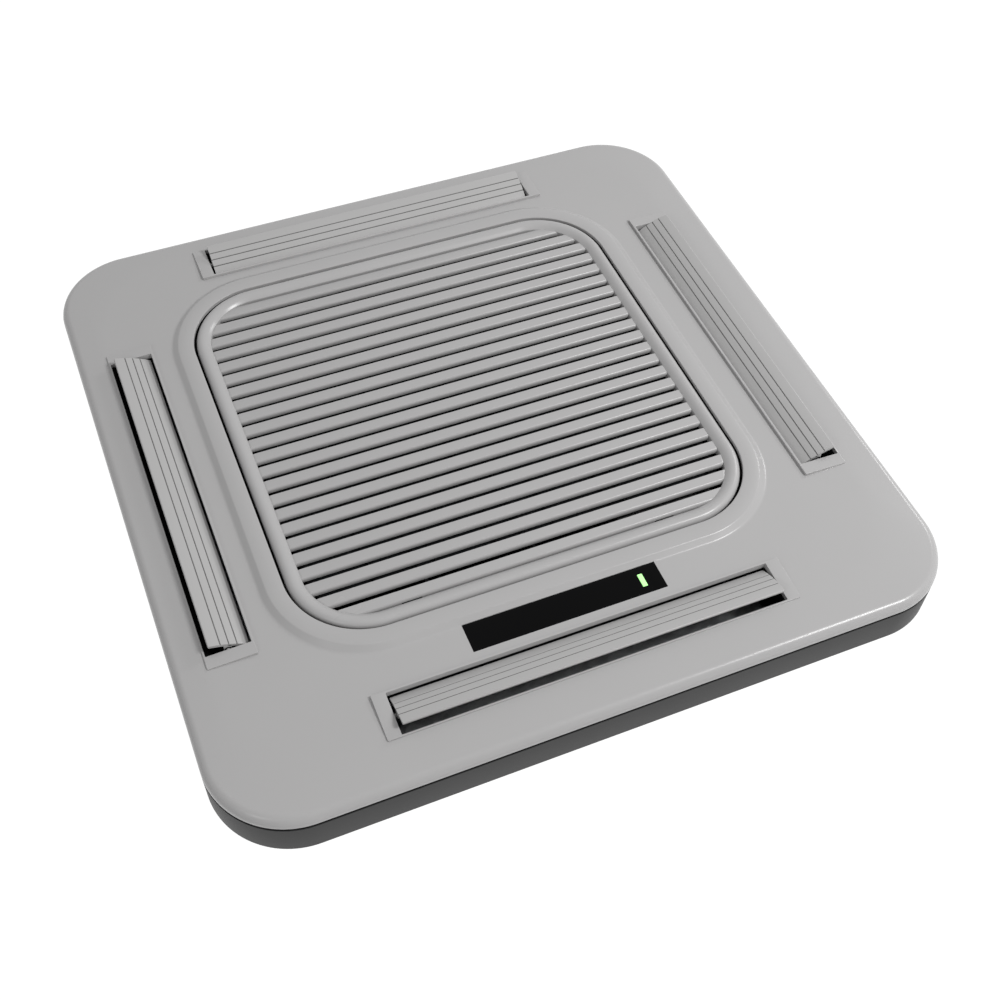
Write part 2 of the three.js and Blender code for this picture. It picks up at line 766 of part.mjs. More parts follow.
// Underside first, then back over the crown with its three grooves.
function flapSection() {
  const reach = flapChord / 2;
  const edge = 0.8;
  const steps = 5;
  const points = [];
  for (let i = 0; i <= steps; i += 1) {
    points.push(crownPoint((reach - 1) * (2 * i / steps - 1), flapThick));
  }
  points.push(crownPoint(reach, flapThick * 0.6), crownPoint(reach, flapThick * 0.3));
  points.push(crownPoint(reach - edge, 0), crownPoint(reach - 4, 0));
  [1, 0, -1].forEach((row) => {
    const middle = grooveShift + row * groovePitch;
    points.push(crownPoint(middle + groovePitch / 2, 0));
    points.push(crownPoint(middle + grooveWidth / 2, 0), crownPoint(middle + grooveWidth / 4, grooveDepth));
    points.push(crownPoint(middle - grooveWidth / 4, grooveDepth), crownPoint(middle - grooveWidth / 2, 0));
  });
  points.push(crownPoint(5 - reach, 0), crownPoint(edge - reach, 0));
  points.push(crownPoint(-reach, flapThick * 0.3), crownPoint(-reach, flapThick * 0.6));
  return points;
}

function flapBody() {
  const half = slotHalfLength - flapEndGap;
  const boss = 5;
  const web = [
    crownPoint(-9, 1), [-boss, 0], [-0.7 * boss, -0.7 * boss], [0, -boss],
    [0.7 * boss, -0.7 * boss], [boss, 0], crownPoint(9, 1)];
  const webs = [-1, 1].map((side) => run(web, flapWeb).translate([side * (half - flapWeb / 2), 0, 0]));
  const tip = slotHalfLength + ductWall + motorLength / 2;
  const pins = [-1, 1].map((side) => {
    return crossBar(flapPinRadius, ...span(side * (half - flapWeb), side * tip), 0, 0);
  });
  return join(run(flapSection(), 2 * half), ...webs, ...pins);
}

// Small geared motor beyond the outlet's +X end; its socket takes the flap's pin.
function flapMotorBody() {
  const x0 = slotHalfLength + ductWall + 2 * fit;
  const z = flapPivot - motorShaftOffset;
  const can = crossBar(motorRadius, x0, x0 + motorLength, -outletMid, z, 16);
  const ear = block(x0, x0 + 1.2, -outletMid - motorEar, -outletMid + motorEar, z - 4, z + 4);
  const socket = crossBar(flapPinRadius + fit, x0 - 1, x0 + motorLength / 2 + 1, -outletMid, flapPivot);
  return cut(join(can, ear), socket);
}

// ---- display --------------------------------------------------------------------------------
const lamp = { x: displayCentre.x + displayWidth / 2 - lampFromRight, y: displayCentre.y };
const boardTop = field - displayThick - boardDrop;

function displayWindowBody() {
  const { x, y } = displayCentre;
  const [w, d] = [displayWidth / 2, displayDepth / 2];
  const pane = block(x - w, x + w, y - d, y + d, field - displayThick, field + 0.2);
  const legs = [-1, 1].map((side) => {
    const middle = x + side * (w - boardDrop);
    return block(middle - 3, middle + 3, y - 12, y + 12, boardTop + fit, field - displayThick + 1);
  });
  const hole = block(
    lamp.x - lampWidth / 2 - fit, lamp.x + lampWidth / 2 + fit,
    lamp.y - lampDepth / 2 - fit, lamp.y + lampDepth / 2 + fit, field - 2 * displayThick, field + 1);
  return cut(join(pane, ...legs), hole);
}

function statusLightBody() {
  return block(
    lamp.x - lampWidth / 2, lamp.x + lampWidth / 2, lamp.y - lampDepth / 2, lamp.y + lampDepth / 2,
    boardTop + fit, field + 0.4);
}

function displayBoardBody() {
  const { x, y } = displayCentre;
  const [w, d] = [displayWidth / 2, displayDepth / 2 - 4];
  return block(x - w, x + w, y - d, y + d, boardTop - boardThick, boardTop);
}

// ---- casing, liner and drain pan ------------------------------------------------------------
// Square with cut corners, a step inside the casing's outer face.
function casingOutline(step) {
  const h = casingSize / 2 - step;
  const k = h - casingChamfer + step * (2 - Math.SQRT2);
  const corners = [[h, -k], [h, k], [k, h], [-k, h], [-h, k], [-h, -k], [-k, -h], [k, -h]];
  return corners.map(([a, b]) => [casingOffset.x + a, casingOffset.y + b]);
}

const coilEnd = { x: grilleCentre.x + coilHalf - coilGap, y: grilleCentre.y + coilHalf - coilGap };
const coilMiddle = coilHalf - coilThick / 2;
const gasHeader = { x: grilleCentre.x + coilMiddle, y: coilEnd.y + headerReach };
const liquidHeader = { x: coilEnd.x + headerReach, y: grilleCentre.y + coilMiddle };
const drainY = casingOffset.y + drainFromMiddle;
const gland = { y: casingOffset.y + glandPlace.y, z: glandPlace.z };
const glandNeck = glandBore + 3;

function casingBody() {
  const top = casingDepth - fit;
  const outer = plate(casingOutline(0), 0, top);
  const room = plate(casingOutline(casingSheet), casingSheet, top - casingSheet);
  const mouth = plate(casingOutline(casingFlange), top - 2 * casingSheet, top + 1);
  const sideHole = (y, z, r) => crossBar(r, casingRight - 4, casingRight + 4, y, z);
  return cut(outer, room, mouth, ...screwHoles(top - 4, top + 1),
    sideHole(gasHeader.y, pipeLevel, gasRadius + 3),
    sideHole(liquidHeader.y, pipeLevel, liquidRadius + 3),
    sideHole(drainY, drainLevel, drainRadius + fit),
    sideHole(gland.y, gland.z, glandNeck + fit));
}

function foamLinerBody() {
  const gap = casingSheet + fit;
  const outer = plate(casingOutline(gap), gap, panFoot - fit);
  const inner = plate(casingOutline(gap + foamThick), casingSheet, panFoot);
  const pipeWindow = block(
    casingRight - hoseFromSide, casingRight, drainY - 30, liquidHeader.y + 14, 30, panFoot - 12);
  const cableWay = crossBar(glandBore, casingRight - 20, casingRight, gland.y, gland.z);
  return cut(outer, inner, pipeWindow, cableWay);
}

function drainPanBody() {
  const slab = plate(casingOutline(casingFlange + fit), panFoot, casingDepth - fit);
  const throatRadius = bellRadius + bellFlare + 2;
  const throat = bar(throatRadius, grilleCentre.x, grilleCentre.y, panFoot - 1, casingDepth + 1, 40);
  const airways = atOutlets(ductSolid(panFoot - 1, casingDepth + 1, 0));
  const trough = (grow, z) => outline(
    grilleCentre, coilHalf - grow, coilHalf - grow, coilCorner - grow, z, 4);
  const edge = 6;
  const rings = [
    trough(-edge, panFoot + panTrough), trough(coilThick + edge, panFoot + panTrough),
    trough(coilThick + edge, panFoot - 1), trough(-edge, panFoot - 1)];
  const pads = [-1, 1].map((side) => {
    const x = grilleCentre.x + side * panPadSpread;
    const strip = block(x - panPad / 2, x + panPad / 2, -half, half, panFoot, panFoot + panTrough + 1);
    return strip.intersect(slab);
  });
  return cut(join(cut(slab, solid(ringShell(rings))), ...pads), throat, ...airways);
}

// ---- fan ------------------------------------------------------------------------------------
const hubTop = fanFloor + hubHeight;
const bossTop = hubTop + bossHeight;
const hubFoot = hubRadius + hubFlare;
const fanRim = fanFloor + fanHeight;
const bladeRoot = hubFoot + bladeGap;
const motorFoot = casingSheet + fit;

// Point of the shroud: share runs from its inlet to its outer edge, layer from its underside (0) to
// its top (1).
function shroudPoint(share, layer) {
  const lift = shroudWall * layer;
  const r = fanInlet + (fanRadius - fanInlet) * share ** 2 + lift * (1 - share);
  return [r, fanRim - shroudDrop * share + lift * share];
}

// Hub with its plate, shroud, and blades that end halfway into the shroud.
function fanBody() {
  const wall = shroudWall;
  const bore = shaftRadius + fit;
  const hub = turned([
    [bore, bossTop], [bore, hubTop - 2 * wall], [bossRadius, hubTop - 2 * wall],
    [hubRadius - hubShoulder, hubTop - wall], [hubRadius - wall, fanFloor + 4 * wall],
    [hubFoot, fanFloor], [fanRadius, fanFloor], [fanRadius, fanFloor + wall],
    [hubFoot + wall, fanFloor + wall], [hubRadius, fanFloor + 5 * wall],
    [hubRadius - hubShoulder + wall, hubTop], [bossRadius, hubTop + wall], [bossRadius - wall, bossTop],
  ], grilleCentre, 28);
  const shares = [0, 0.35, 0.7, 1];
  const under = shares.map((share) => shroudPoint(share, 0));
  const over = shares.map((share) => shroudPoint(share, 1));
  const shroud = turned([...under, ...over.reverse()], grilleCentre, 28);
  const tip = fanRadius - 0.5;
  const within = shares.slice(1, 3).map((share) => shroudPoint(share, 0.5));
  const envelope = turned([
    [bladeRoot - 2, fanFloor + 1], [tip, fanFloor + 1], [tip, shroudPoint(1, 0.5)[1]],
    ...within.reverse(), [fanInlet - bossRadius, fanRim - shroudDrop / 2],
    [bladeRoot + bossRadius, fanRim - shroudDrop],
  ], grilleCentre, 28);
  const blades = [];
  for (let i = 0; i < fanBladeCount; i += 1) blades.push(bladeBody(i * 2 * Math.PI / fanBladeCount));
  return join(hub, shroud, join(...blades).intersect(envelope));
}

// A backward-swept blade: a curved strip of even thickness, standing on the hub plate.
function bladeBody(start) {
  const steps = 5;
  const at = (share, side) => {
    const r = bladeRoot + (fanRadius - bladeRoot) * share;
    const a = start - bladeSweep * share + side * bladeThick / 2 / r;
    return [grilleCentre.x + r * Math.cos(a), grilleCentre.y + r * Math.sin(a)];
  };
  const strip = [];
  for (let i = 0; i <= steps; i += 1) strip.push(at(i / steps, -1));
  for (let i = steps; i >= 0; i -= 1) strip.push(at(i / steps, 1));
  return plate(strip, fanFloor + 1, fanRim);
}

function fanMotorBody() {
  const top = motorFoot + motorCanHeight;
  const bore = shaftRadius + fit;
  return turned([
    [bore, motorFoot], [motorCanRadius, motorFoot], [motorCanRadius, top - 16],
    [motorCanRadius - 12, top - 6], [26, top], [bore, top],
  ], grilleCentre, 24);
}

function motorShaftBody() {
  const top = bossTop + nutHeight - 1;
  return bar(shaftRadius, grilleCentre.x, grilleCentre.y, motorFoot + 2, top);
}

function hubNutBody() {
  const foot = bossTop + fit;
  const { x, y } = grilleCentre;
  const nut = bar(shaftRadius + 5, x, y, foot, foot + nutHeight, 6);
  return cut(nut, bar(shaftRadius + fit, x, y, foot - 1, foot + nutHeight + 1));
}

// Flared ring that leads the air from the grille into the fan's eye: a quarter of an ellipse, then
// a flat flange on the drain pan.
function bellMouthBody() {
  const foot = fanRim - bellDip;
  const steps = 4;
  const curve = (layer) => {
    const points = [];
    for (let i = 0; i <= steps; i += 1) {
      const a = (i / steps) * Math.PI / 2;
      const r = bellRadius + layer + (bellFlare - layer) * (1 - Math.cos(a));
      points.push([r, foot + (casingDepth + bellWall - layer - foot) * Math.sin(a)]);
    }
    return points;
  };
  const flange = [[bellRim, casingDepth + bellWall], [bellRim, casingDepth]];
  return turned([...curve(0), ...flange, ...curve(bellWall).reverse()], grilleCentre);
}

// ---- coil and its pipes ---------------------------------------------------------------------
function coilBody() {
  const at = (grow, z) => outline(
    grilleCentre, coilHalf - grow, coilHalf - grow, coilCorner + coilLap - grow, z, 6);
  const top = coilFoot + coilHeight;
  const ring = ringShell([at(0, coilFoot), at(0, top), at(coilThick, top), at(coilThick, coilFoot)]);
  const far = { x: grilleCentre.x + coilHalf + 1, y: grilleCentre.y + coilHalf + 1 };
  return cut(solid(ring), block(coilEnd.x, far.x, coilEnd.y, far.y, 0, casingDepth));
}

// Sheet at an end of the coil, standing on the casing's back plate.
function endPlateBody(alongX) {
  const far = coilHalf + endPlateLap;
  const near = coilHalf - coilThick - endPlateLap;
  const { x, y } = grilleCentre;
  const levels = [casingSheet + fit, coilFoot + coilHeight + endPlateLap];
  const sheet = (end) => [end + fit, end + fit + endPlateSheet];
  if (alongX) return block(...sheet(coilEnd.x), y + near, y + far, ...levels);
  return block(x + near, x + far, ...sheet(coilEnd.y), ...levels);
}

// Upright header with stubs that end at the coil's end plate.
function headerBody(place, radius, alongX) {
  const body = [bar(radius, place.x, place.y, coilFoot + 8, coilFoot + coilHeight - 8)];
  const start = endPlateSheet + 2 * fit;
  for (let i = 0; i < stubCount; i += 1) {
    const z = coilFoot + 20 + i * (coilHeight - 40) / (stubCount - 1);
    if (alongX) body.push(crossBar(radius / 2, coilEnd.x + start, place.x, place.y, z, 8));
    else body.push(yBar(radius / 2, place.x, coilEnd.y + start, place.y, z, 8));
  }
  return join(...body);
}

const pipeEnd = casingRight + pipeReach;

// Pipe from its header out through the casing's side.
function pipeBody(header, radius) {
  const start = header.x + radius + fit;
  const outer = crossBar(radius, start, pipeEnd, header.y, pipeLevel);
  return cut(outer, crossBar(radius - pipeWall, start - 1, pipeEnd + 1, header.y, pipeLevel));
}

// Cap nut closing the pipe's end.
function capNutBody(y, radius) {
  const far = pipeEnd + fit;
  const nut = crossBar(radius * 1.75, far + capNutEnd - capNutLength, far + capNutEnd, y, pipeLevel, 6);
  return cut(nut, crossBar(radius + fit, far - capNutLength, far, y, pipeLevel));
}

// Spout with a collar on the casing and a spigot for the hose inside.
function drainPortBody() {
  const far = casingRight + drainReach;
  const inner = hoseLine - drainRadius;
  const bore = drainRadius - drainWall;
  const spout = crossBar(drainRadius, inner, far, drainY, drainLevel);
  const collar = crossBar(
    drainRadius + drainCollar, casingRight + fit, casingRight + 4, drainY, drainLevel);
  const spigot = yBar(spigotRadius, hoseLine, drainY, hoseFront + hoseLap, drainLevel);
  const way = crossBar(bore, inner + drainWall, far + 1, drainY, drainLevel);
  const spigotWay = yBar(spigotRadius - hoseWall, hoseLine, drainY, hoseFront + hoseLap + 1, drainLevel);
  return cut(join(spout, collar, spigot), way, spigotWay);
}

const pump = {
  x: casingRight - pumpFromSide.x, y: casingOffset.y + casingSize / 2 - pumpFromSide.y,
};
const hoseFront = drainY + drainRadius + drainCollar;
const hoseBack = pump.y - pumpNeck.radius;

// Pump hanging at the pan, with an elbow for the hose.
function drainPumpBody() {
  const top = panFoot - fit;
  const neckFoot = top - pumpNeck.height;
  const bodyFoot = neckFoot - pumpBody.height;
  const intakeFoot = bodyFoot - pumpIntake.height;
  const body = turned([
    [pumpIntake.bore, top], [pumpNeck.radius, top], [pumpNeck.radius, neckFoot],
    [pumpBody.radius, neckFoot - pumpBody.bevel], [pumpBody.radius, bodyFoot],
    [pumpIntake.radius, bodyFoot - pumpBody.bevel], [pumpIntake.radius, intakeFoot],
    [pumpIntake.bore, intakeFoot],
  ], pump, 16);
  const elbowY = pump.y - pumpNeck.radius / 2;
  const out = crossBar(spigotRadius, pump.x + pumpNeck.radius, hoseLine + spigotRadius, elbowY, drainLevel);
  return join(body, out, yBar(spigotRadius, hoseLine, hoseBack - hoseLap, elbowY, drainLevel));
}

function drainHoseBody() {
  const inner = spigotRadius + fit;
  const outer = yBar(inner + hoseWall, hoseLine, hoseFront, hoseBack, drainLevel);
  return cut(outer, yBar(inner, hoseLine, hoseFront - 1, hoseBack + 1, drainLevel));
}

// ---- float switch: a stem with two stops, and the float that slides between them ------------
const floatPlace = { x: pump.x + floatFromPump.x, y: pump.y + floatFromPump.y };
const stemTop = panFoot - fit;
const floatFoot = stemTop - floatDepth;

function floatSwitchBody() {
  const { x, y } = floatPlace;
  const stopRadius = stemRadius + stopWidth;
  const stop = floatFoot + floatHeight + floatTravel + fit;
  const stem = bar(stemRadius, x, y, floatFoot - stopHeight / 2, stemTop);
  const lower = bar(stopRadius, x, y, floatFoot - stopHeight, floatFoot - fit);
  const upper = bar(stopRadius, x, y, stop + fit, stemTop);
  return join(stem, lower, upper);
}

function floatBody() {
  const { x, y } = floatPlace;
  const ring = bar(floatRadius, x, y, floatFoot, floatFoot + floatHeight, 16);
  return cut(ring, bar(stemRadius + fit, x, y, floatFoot - 1, floatFoot + floatHeight + 1));
}

// Threaded collar for the supply cable, with its neck through the casing's side.
function cableGlandBody() {
  const { y, z } = gland;
  const neck = crossBar(glandNeck, casingRight - casingSheet, casingRight + 2, y, z);
  const collar = crossBar(glandRadius, casingRight + fit, casingRight + glandReach, y, z);
  return cut(join(neck, collar), crossBar(glandBore, casingRight - 3, casingRight + glandReach + 1, y, z));
}

// ---- controls beside the bell mouth ---------------------------------------------------------
const controlNear = {
  x: grilleCentre.x + bellRim - controlInset.x, y: grilleCentre.y - bellRim + controlInset.y,
};
const control = {
  x0: controlNear.x, x1: controlNear.x + controlSize.x,
  y0: controlNear.y - controlSize.y, y1: controlNear.y,
};
const controlTop = casingDepth + controlSize.z;

// Block over the control box's plan, grown by a step on all four sides.
function controlBlock(step, z0, z1) {
  return block(control.x0 - step, control.x1 + step, control.y0 - step, control.y1 + step, z0, z1);
}

function controlBoxBody() {
  const outer = controlBlock(0, casingDepth, controlTop);
  return cut(outer, controlBlock(-controlSheet, casingDepth + controlSheet, controlTop + 1));
}

function controlCoverBody() {
  const lidTop = controlTop + fit + controlSheet;
  const outer = controlBlock(fit + controlSheet, controlTop - controlLap, lidTop);
  return cut(outer, controlBlock(fit, controlTop - controlLap - 1, controlTop + fit));
}

// Board on four feet, with its taller parts.
function mainBoardBody() {
  const foot = casingDepth + controlSheet + fit;
  const deck = foot + standoff.height;
  const seat = deck + 1; // its parts start inside the board
  const { x0, x1, y0, y1 } = control;
  const pieces = [controlBlock(-boardInset, deck, deck + boardThick)];
  const w = standoff.width / 2;
  [x0 + 2 * boardInset, x1 - 2 * boardInset].forEach((x) => {
    [y0 + 2 * boardInset, y1 - 2 * boardInset].forEach((y) => {
      pieces.push(block(x - w, x + w, y - w, y + w, foot, seat));
    });
  });
  boardParts.forEach(({ x, y, width, depth, height }) => {
    pieces.push(block(x0 + x, x0 + x + width, y0 + y, y0 + y + depth, seat, deck + height));
  });
  pieces.push(bar(capacitor.radius, x0 + capacitor.x, y0 + capacitor.y, seat, deck + capacitor.height));
  const { side, back, depth, height } = terminals;
  pieces.push(block(x0 + side, x1 - side, y1 - back - depth, y1 - back, seat, deck + height));
  return join(...pieces);
}

// ---- hanging lugs and screws ----------------------------------------------------------------
// Angle with a slot, open at its outer end, for a hanging rod.
function lugBody([sideX, sideY]) {
  const wall = casingOffset.x + sideX * (casingSize / 2 + fit);
  const y = casingOffset.y + sideY * lugSpread;
  const [near, far] = [y - lugWidth / 2, y + lugWidth / 2];
  const edge = wall + sideX * lugReach;
  const upright = block(...span(wall, wall + sideX * lugSheet), near, far, lugLevel - lugHeight, lugLevel);
  const shelf = block(...span(wall, edge), near, far, lugLevel - lugSheet, lugLevel);
  const slot = block(
    ...span(edge - sideX * lugSlotLength, edge + sideX), y - lugSlot / 2, y + lugSlot / 2,
    lugLevel - 2 * lugSheet, lugLevel + 1);
  return cut(join(upright, shelf), slot);
}

function screwBody(corner) {
  const { x, y } = screwPlace(corner);
  const seat = deckTop + fit;
  const shank = bar(screwRadius, x, y, seat - screwLength, seat + 1);
  return shank.add(bar(screwHead.radius, x, y, seat, seat + screwHead.height));
}

// ---- the assembly ---------------------------------------------------------------------------
addPiece('fascia', fasciaBody(), panelPlastic);
addPiece('surround', surroundBody(), darkPlastic);
addPiece('intake_grille', grilleBody(), panelPlastic);
addPiece('filter_frame', filterFrameBody(), darkPlastic);
addPiece('filter_net', filterNetBody(), netPlastic);
[['left', -1], ['right', 1]].forEach(([name, side]) => {
  addPiece(`grille_latch_${name}`, latchBody(side), darkPlastic);
  addPiece(`hinge_bracket_${name}`, hingeBracket(side), steelSheet);
  addPiece(`hinge_pin_${name}`, hingePin(side), brightSteel);
});

const frameBody = outletFrameBody();
const bladeAndPins = flapBody();
const flapDrive = flapMotorBody();
sides.forEach((name, quarter) => {
  const group = outletGroups[quarter];
  addPiece(`outlet_frame_${name}`, frameBody, panelPlastic, group);
  addPiece(`flap_${name}`, bladeAndPins, flapPlastic, group, new THREE.Vector3(0, -outletMid, flapPivot));
  addPiece(`flap_motor_${name}`, flapDrive, brightSteel, group);
});

addPiece('display_window', displayWindowBody(), blackGloss);
addPiece('status_light', statusLightBody(), lampGlow);
addPiece('display_board', displayBoardBody(), boardGreen);

addPiece('casing', casingBody(), steelSheet);
addPiece('foam_liner', foamLinerBody(), foamWhite);
addPiece('drain_pan', drainPanBody(), foamWhite);
addPiece('bell_mouth', bellMouthBody(), fanPlastic);
addPiece('fan_rotor', fanBody(), fanPlastic);
addPiece('fan_motor', fanMotorBody(), steelSheet);
addPiece('motor_shaft', motorShaftBody(), brightSteel);
addPiece('hub_nut', hubNutBody(), brightSteel);
addPiece('coil', coilBody(), finAluminium);
addPiece('coil_end_plate_back', endPlateBody(true), steelSheet);
addPiece('coil_end_plate_right', endPlateBody(false), steelSheet);
addPiece('gas_header', headerBody(gasHeader, gasRadius, false), copper);
addPiece('liquid_header', headerBody(liquidHeader, liquidRadius, true), copper);
addPiece('gas_pipe', pipeBody(gasHeader, gasRadius), copper);
addPiece('liquid_pipe', pipeBody(liquidHeader, liquidRadius), copper);
addPiece('gas_cap_nut', capNutBody(gasHeader.y, gasRadius), brass);
addPiece('liquid_cap_nut', capNutBody(liquidHeader.y, liquidRadius), brass);
addPiece('drain_pump', drainPumpBody(), rubberBlack);
addPiece('drain_hose', drainHoseBody(), rubberBlack);
addPiece('drain_port', drainPortBody(), fanPlastic);
addPiece('float_switch', floatSwitchBody(), fanPlastic);
addPiece('float', floatBody(), foamWhite);
addPiece('cable_gland', cableGlandBody(), rubberBlack);
addPiece('control_box', controlBoxBody(), steelSheet);
addPiece('control_cover', controlCoverBody(), steelSheet);
addPiece('main_board', mainBoardBody(), boardGreen);
Object.entries(quarters).forEach(([name, corner]) => {
  addPiece(`hanging_lug_${name}`, lugBody(corner), steelSheet);
  addPiece(`panel_screw_${name}`, screwBody(corner), brightSteel);
});

export default model;
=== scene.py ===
import json

import bmesh
import bpy
import numpy as np
from mathutils import Matrix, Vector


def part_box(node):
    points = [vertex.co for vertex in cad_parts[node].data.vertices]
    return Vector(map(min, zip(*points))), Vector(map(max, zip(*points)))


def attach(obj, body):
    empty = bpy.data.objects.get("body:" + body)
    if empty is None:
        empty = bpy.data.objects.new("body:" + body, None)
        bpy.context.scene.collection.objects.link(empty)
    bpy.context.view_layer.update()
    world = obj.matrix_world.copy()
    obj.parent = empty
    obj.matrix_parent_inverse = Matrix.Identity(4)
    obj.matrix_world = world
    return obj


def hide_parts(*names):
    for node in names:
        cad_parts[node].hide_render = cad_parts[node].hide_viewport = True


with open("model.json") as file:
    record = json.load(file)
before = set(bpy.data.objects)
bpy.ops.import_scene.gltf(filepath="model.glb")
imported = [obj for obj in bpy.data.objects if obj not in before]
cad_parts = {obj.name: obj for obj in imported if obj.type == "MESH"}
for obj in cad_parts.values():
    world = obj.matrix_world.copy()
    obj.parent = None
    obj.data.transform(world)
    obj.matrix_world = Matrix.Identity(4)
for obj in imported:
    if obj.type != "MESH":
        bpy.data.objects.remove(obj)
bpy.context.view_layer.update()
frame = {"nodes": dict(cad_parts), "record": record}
nodes = frame["nodes"]
sides = ["front", "right", "back", "left"]
outletCentre = (-0.005, 0.010)
grilleCentre = (-0.010, 0.028)
fieldLevel = 0.245
bodies = frame["record"]["behaviour"]["bodies"]
bodyOf = {name: body for body, members in bodies.items() for name in members}


# Meshes, worked out as whole arrays.

# Rounded rectangles as a grid: row r is the outline with centre, half sizes, corner radius and
# level rings[r]; along a row the point runs round four quarter circles joined by straight sides.
def ringGrid(rings, steps=20):
    centreX, centreY, halfX, halfY, corner, level = np.asarray(rings, float).T[:, :, None]
    quarter = np.repeat(np.arange(4), steps + 1)
    angle = (quarter + np.tile(np.linspace(0, 1, steps + 1), 4)) * np.pi / 2
    signX = np.array([1, -1, -1, 1])[quarter]
    signY = np.array([1, 1, -1, -1])[quarter]
    x = centreX + signX * (halfX - corner) + corner * np.cos(angle)
    y = centreY + signY * (halfY - corner) + corner * np.sin(angle)
    return np.stack([x, y, level + 0 * x], axis=-1)


# Each key row is rounded: between the points a reach before and after it runs a quadratic curve
# (1-u)^2 A + 2u(1-u) P + u^2 C. A key is (ring, reach, steps); a reach of 0 keeps it sharp.
def softRings(keys):
    rings = np.array([key[0] for key in keys], float)
    rows = []
    for i, (_, reach, steps) in enumerate(keys):
        here, before, after = rings[i], rings[i - 1], rings[(i + 1) % len(keys)]
        if reach == 0:
            rows.append(here[None])
            continue
        towards = []
        for other in (before, after):
            gap = np.hypot(np.abs(other - here)[[2, 3]].max(), other[5] - here[5])
            towards.append(here + (other - here) * min(0.5, reach / max(gap, 1e-9)))
        u = np.linspace(0, 1, steps + 1)[:, None]
        rows.append((1 - u) ** 2 * towards[0] + 2 * u * (1 - u) * here + u ** 2 * towards[1])
    return np.concatenate(rows)


# Quads between neighbouring grid points. Each row closes on itself; wrapped rows also join the last
# row to the first, and caps close the first and last rows with a flat face.
def gridShape(points, wrapRows=False, caps=False):
    rows, columns = points.shape[:2]
    r = np.arange(rows if wrapRows else rows - 1)[:, None]
    c = np.arange(columns)[None, :]
    nextR, nextC = (r + 1) % rows, (c + 1) % columns
    quads = np.stack([r * columns + c, r * columns + nextC, nextR * columns + nextC, nextR * columns + c],
                     axis=-1)
    faces = [quads.reshape(-1, 4)]
    if caps:
        around = np.arange(columns)
        faces += [around[None, ::-1], around[None] + (rows - 1) * columns]
    return points.reshape(-1, 3), faces


# Several shapes as one: each one's faces are counted on from the points before it.
def joinShapes(shapes):
    points, faces, start = [], [], 0
    for shapePoints, shapeFaces in shapes:
        points.append(shapePoints)
        faces += [face + start for face in shapeFaces]
        start += len(shapePoints)
    return np.concatenate(points), faces


# A shape becomes a mesh object that rides on a body and stands for the nodes it replaces.
def makePiece(name, shape, material, body="cassette", replaces=(), sharpAngle=38):
    points, faces = shape
    totals = np.concatenate([np.full(len(face), face.shape[1]) for face in faces])
    corners = np.concatenate([face.ravel() for face in faces])
    mesh = bpy.data.meshes.new(name)
    mesh.vertices.add(len(points))
    mesh.vertices.foreach_set("co", np.ascontiguousarray(points, np.float32).ravel())
    mesh.loops.add(len(corners))
    mesh.loops.foreach_set("vertex_index", corners.astype(np.int32))
    mesh.polygons.add(len(totals))
    mesh.polygons.foreach_set("loop_start", (np.cumsum(totals) - totals).astype(np.int32))
    mesh.update(calc_edges=True)
    mesh.validate()
    piece = bpy.data.objects.new(name, mesh)
    bpy.context.scene.collection.objects.link(piece)
    finishPiece(piece, material, body, replaces, sharpAngle)


# Smooth shading with sharp edges past an angle, then the material, the body and the nodes.
def finishPiece(piece, material, body, replaces, sharpAngle):
    mesh = piece.data
    mesh.polygons.foreach_set("use_smooth", np.ones(len(mesh.polygons), bool))
    mesh.set_sharp_from_angle(angle=np.radians(sharpAngle))
    mesh.materials.append(material)
    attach(piece, body)
    if replaces:
        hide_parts(*replaces)


# The shape is cut by others, or kept where they overlap it, with Blender's exact boolean, and the
# result is a plain mesh again.
def cutShape(shape, tools, operation="DIFFERENCE"):
    def blank(name, part):
        mesh = bpy.data.meshes.new(name)
        points, faces = part
        mesh.from_pydata(points.tolist(), [], [f for face in faces for f in face.tolist()])
        item = bpy.data.objects.new(name, mesh)
        bpy.context.scene.collection.objects.link(item)
        return item

    body = blank("cutBody", shape)
    cutters = [blank("cutTool", tool) for tool in tools]
    for cutter in cutters:
        boolean = body.modifiers.new("cut", "BOOLEAN")
        boolean.operation = operation
        boolean.solver = "EXACT"
        boolean.object = cutter
    graph = bpy.context.evaluated_depsgraph_get()
    result = body.evaluated_get(graph).to_mesh()
    points = np.empty(len(result.vertices) * 3, np.float32)
    result.vertices.foreach_get("co", points)
    faces = [np.array([list(polygon.vertices)]) for polygon in result.polygons]
    for item in [body, *cutters]:
        bpy.data.objects.remove(item)
    return points.reshape(-1, 3).astype(float), faces


# Block with rounded edges: rounded rectangles that shrink by the edge radius at both ends.
def softBlock(low, high, edge, steps=4):
    low, high = np.array(low, float), np.array(high, float)
    middle, halfSize = (low + high) / 2, (high - low) / 2
    angle = np.linspace(0, np.pi / 2, steps + 1)
    inset = edge * (1 - np.sin(angle))
    rise = edge * (1 - np.cos(angle))
    inset = np.concatenate([inset, inset[::-1]])
    level = np.concatenate([low[2] + rise, high[2] - rise[::-1]])
    rings = [(middle[0], middle[1], halfSize[0] - i, halfSize[1] - i, max(edge - i, edge * 0.02), z)
             for i, z in zip(inset, level)]
    return gridShape(ringGrid(rings, steps), caps=True)


# Box with sharp edges, for cutting.
def plainBlock(low, high):
    x0, y0, z0 = low
    x1, y1, z1 = high
    points = np.array([(x, y, z) for z in (z0, z1) for x, y in ((x0, y0), (x1, y0), (x1, y1), (x0, y1))])
    quads = np.array([(0, 3, 2, 1), (4, 5, 6, 7), (0, 1, 5, 4), (1, 2, 6, 5), (2, 3, 7, 6), (3, 0, 4, 7)])
    return points, [quads]


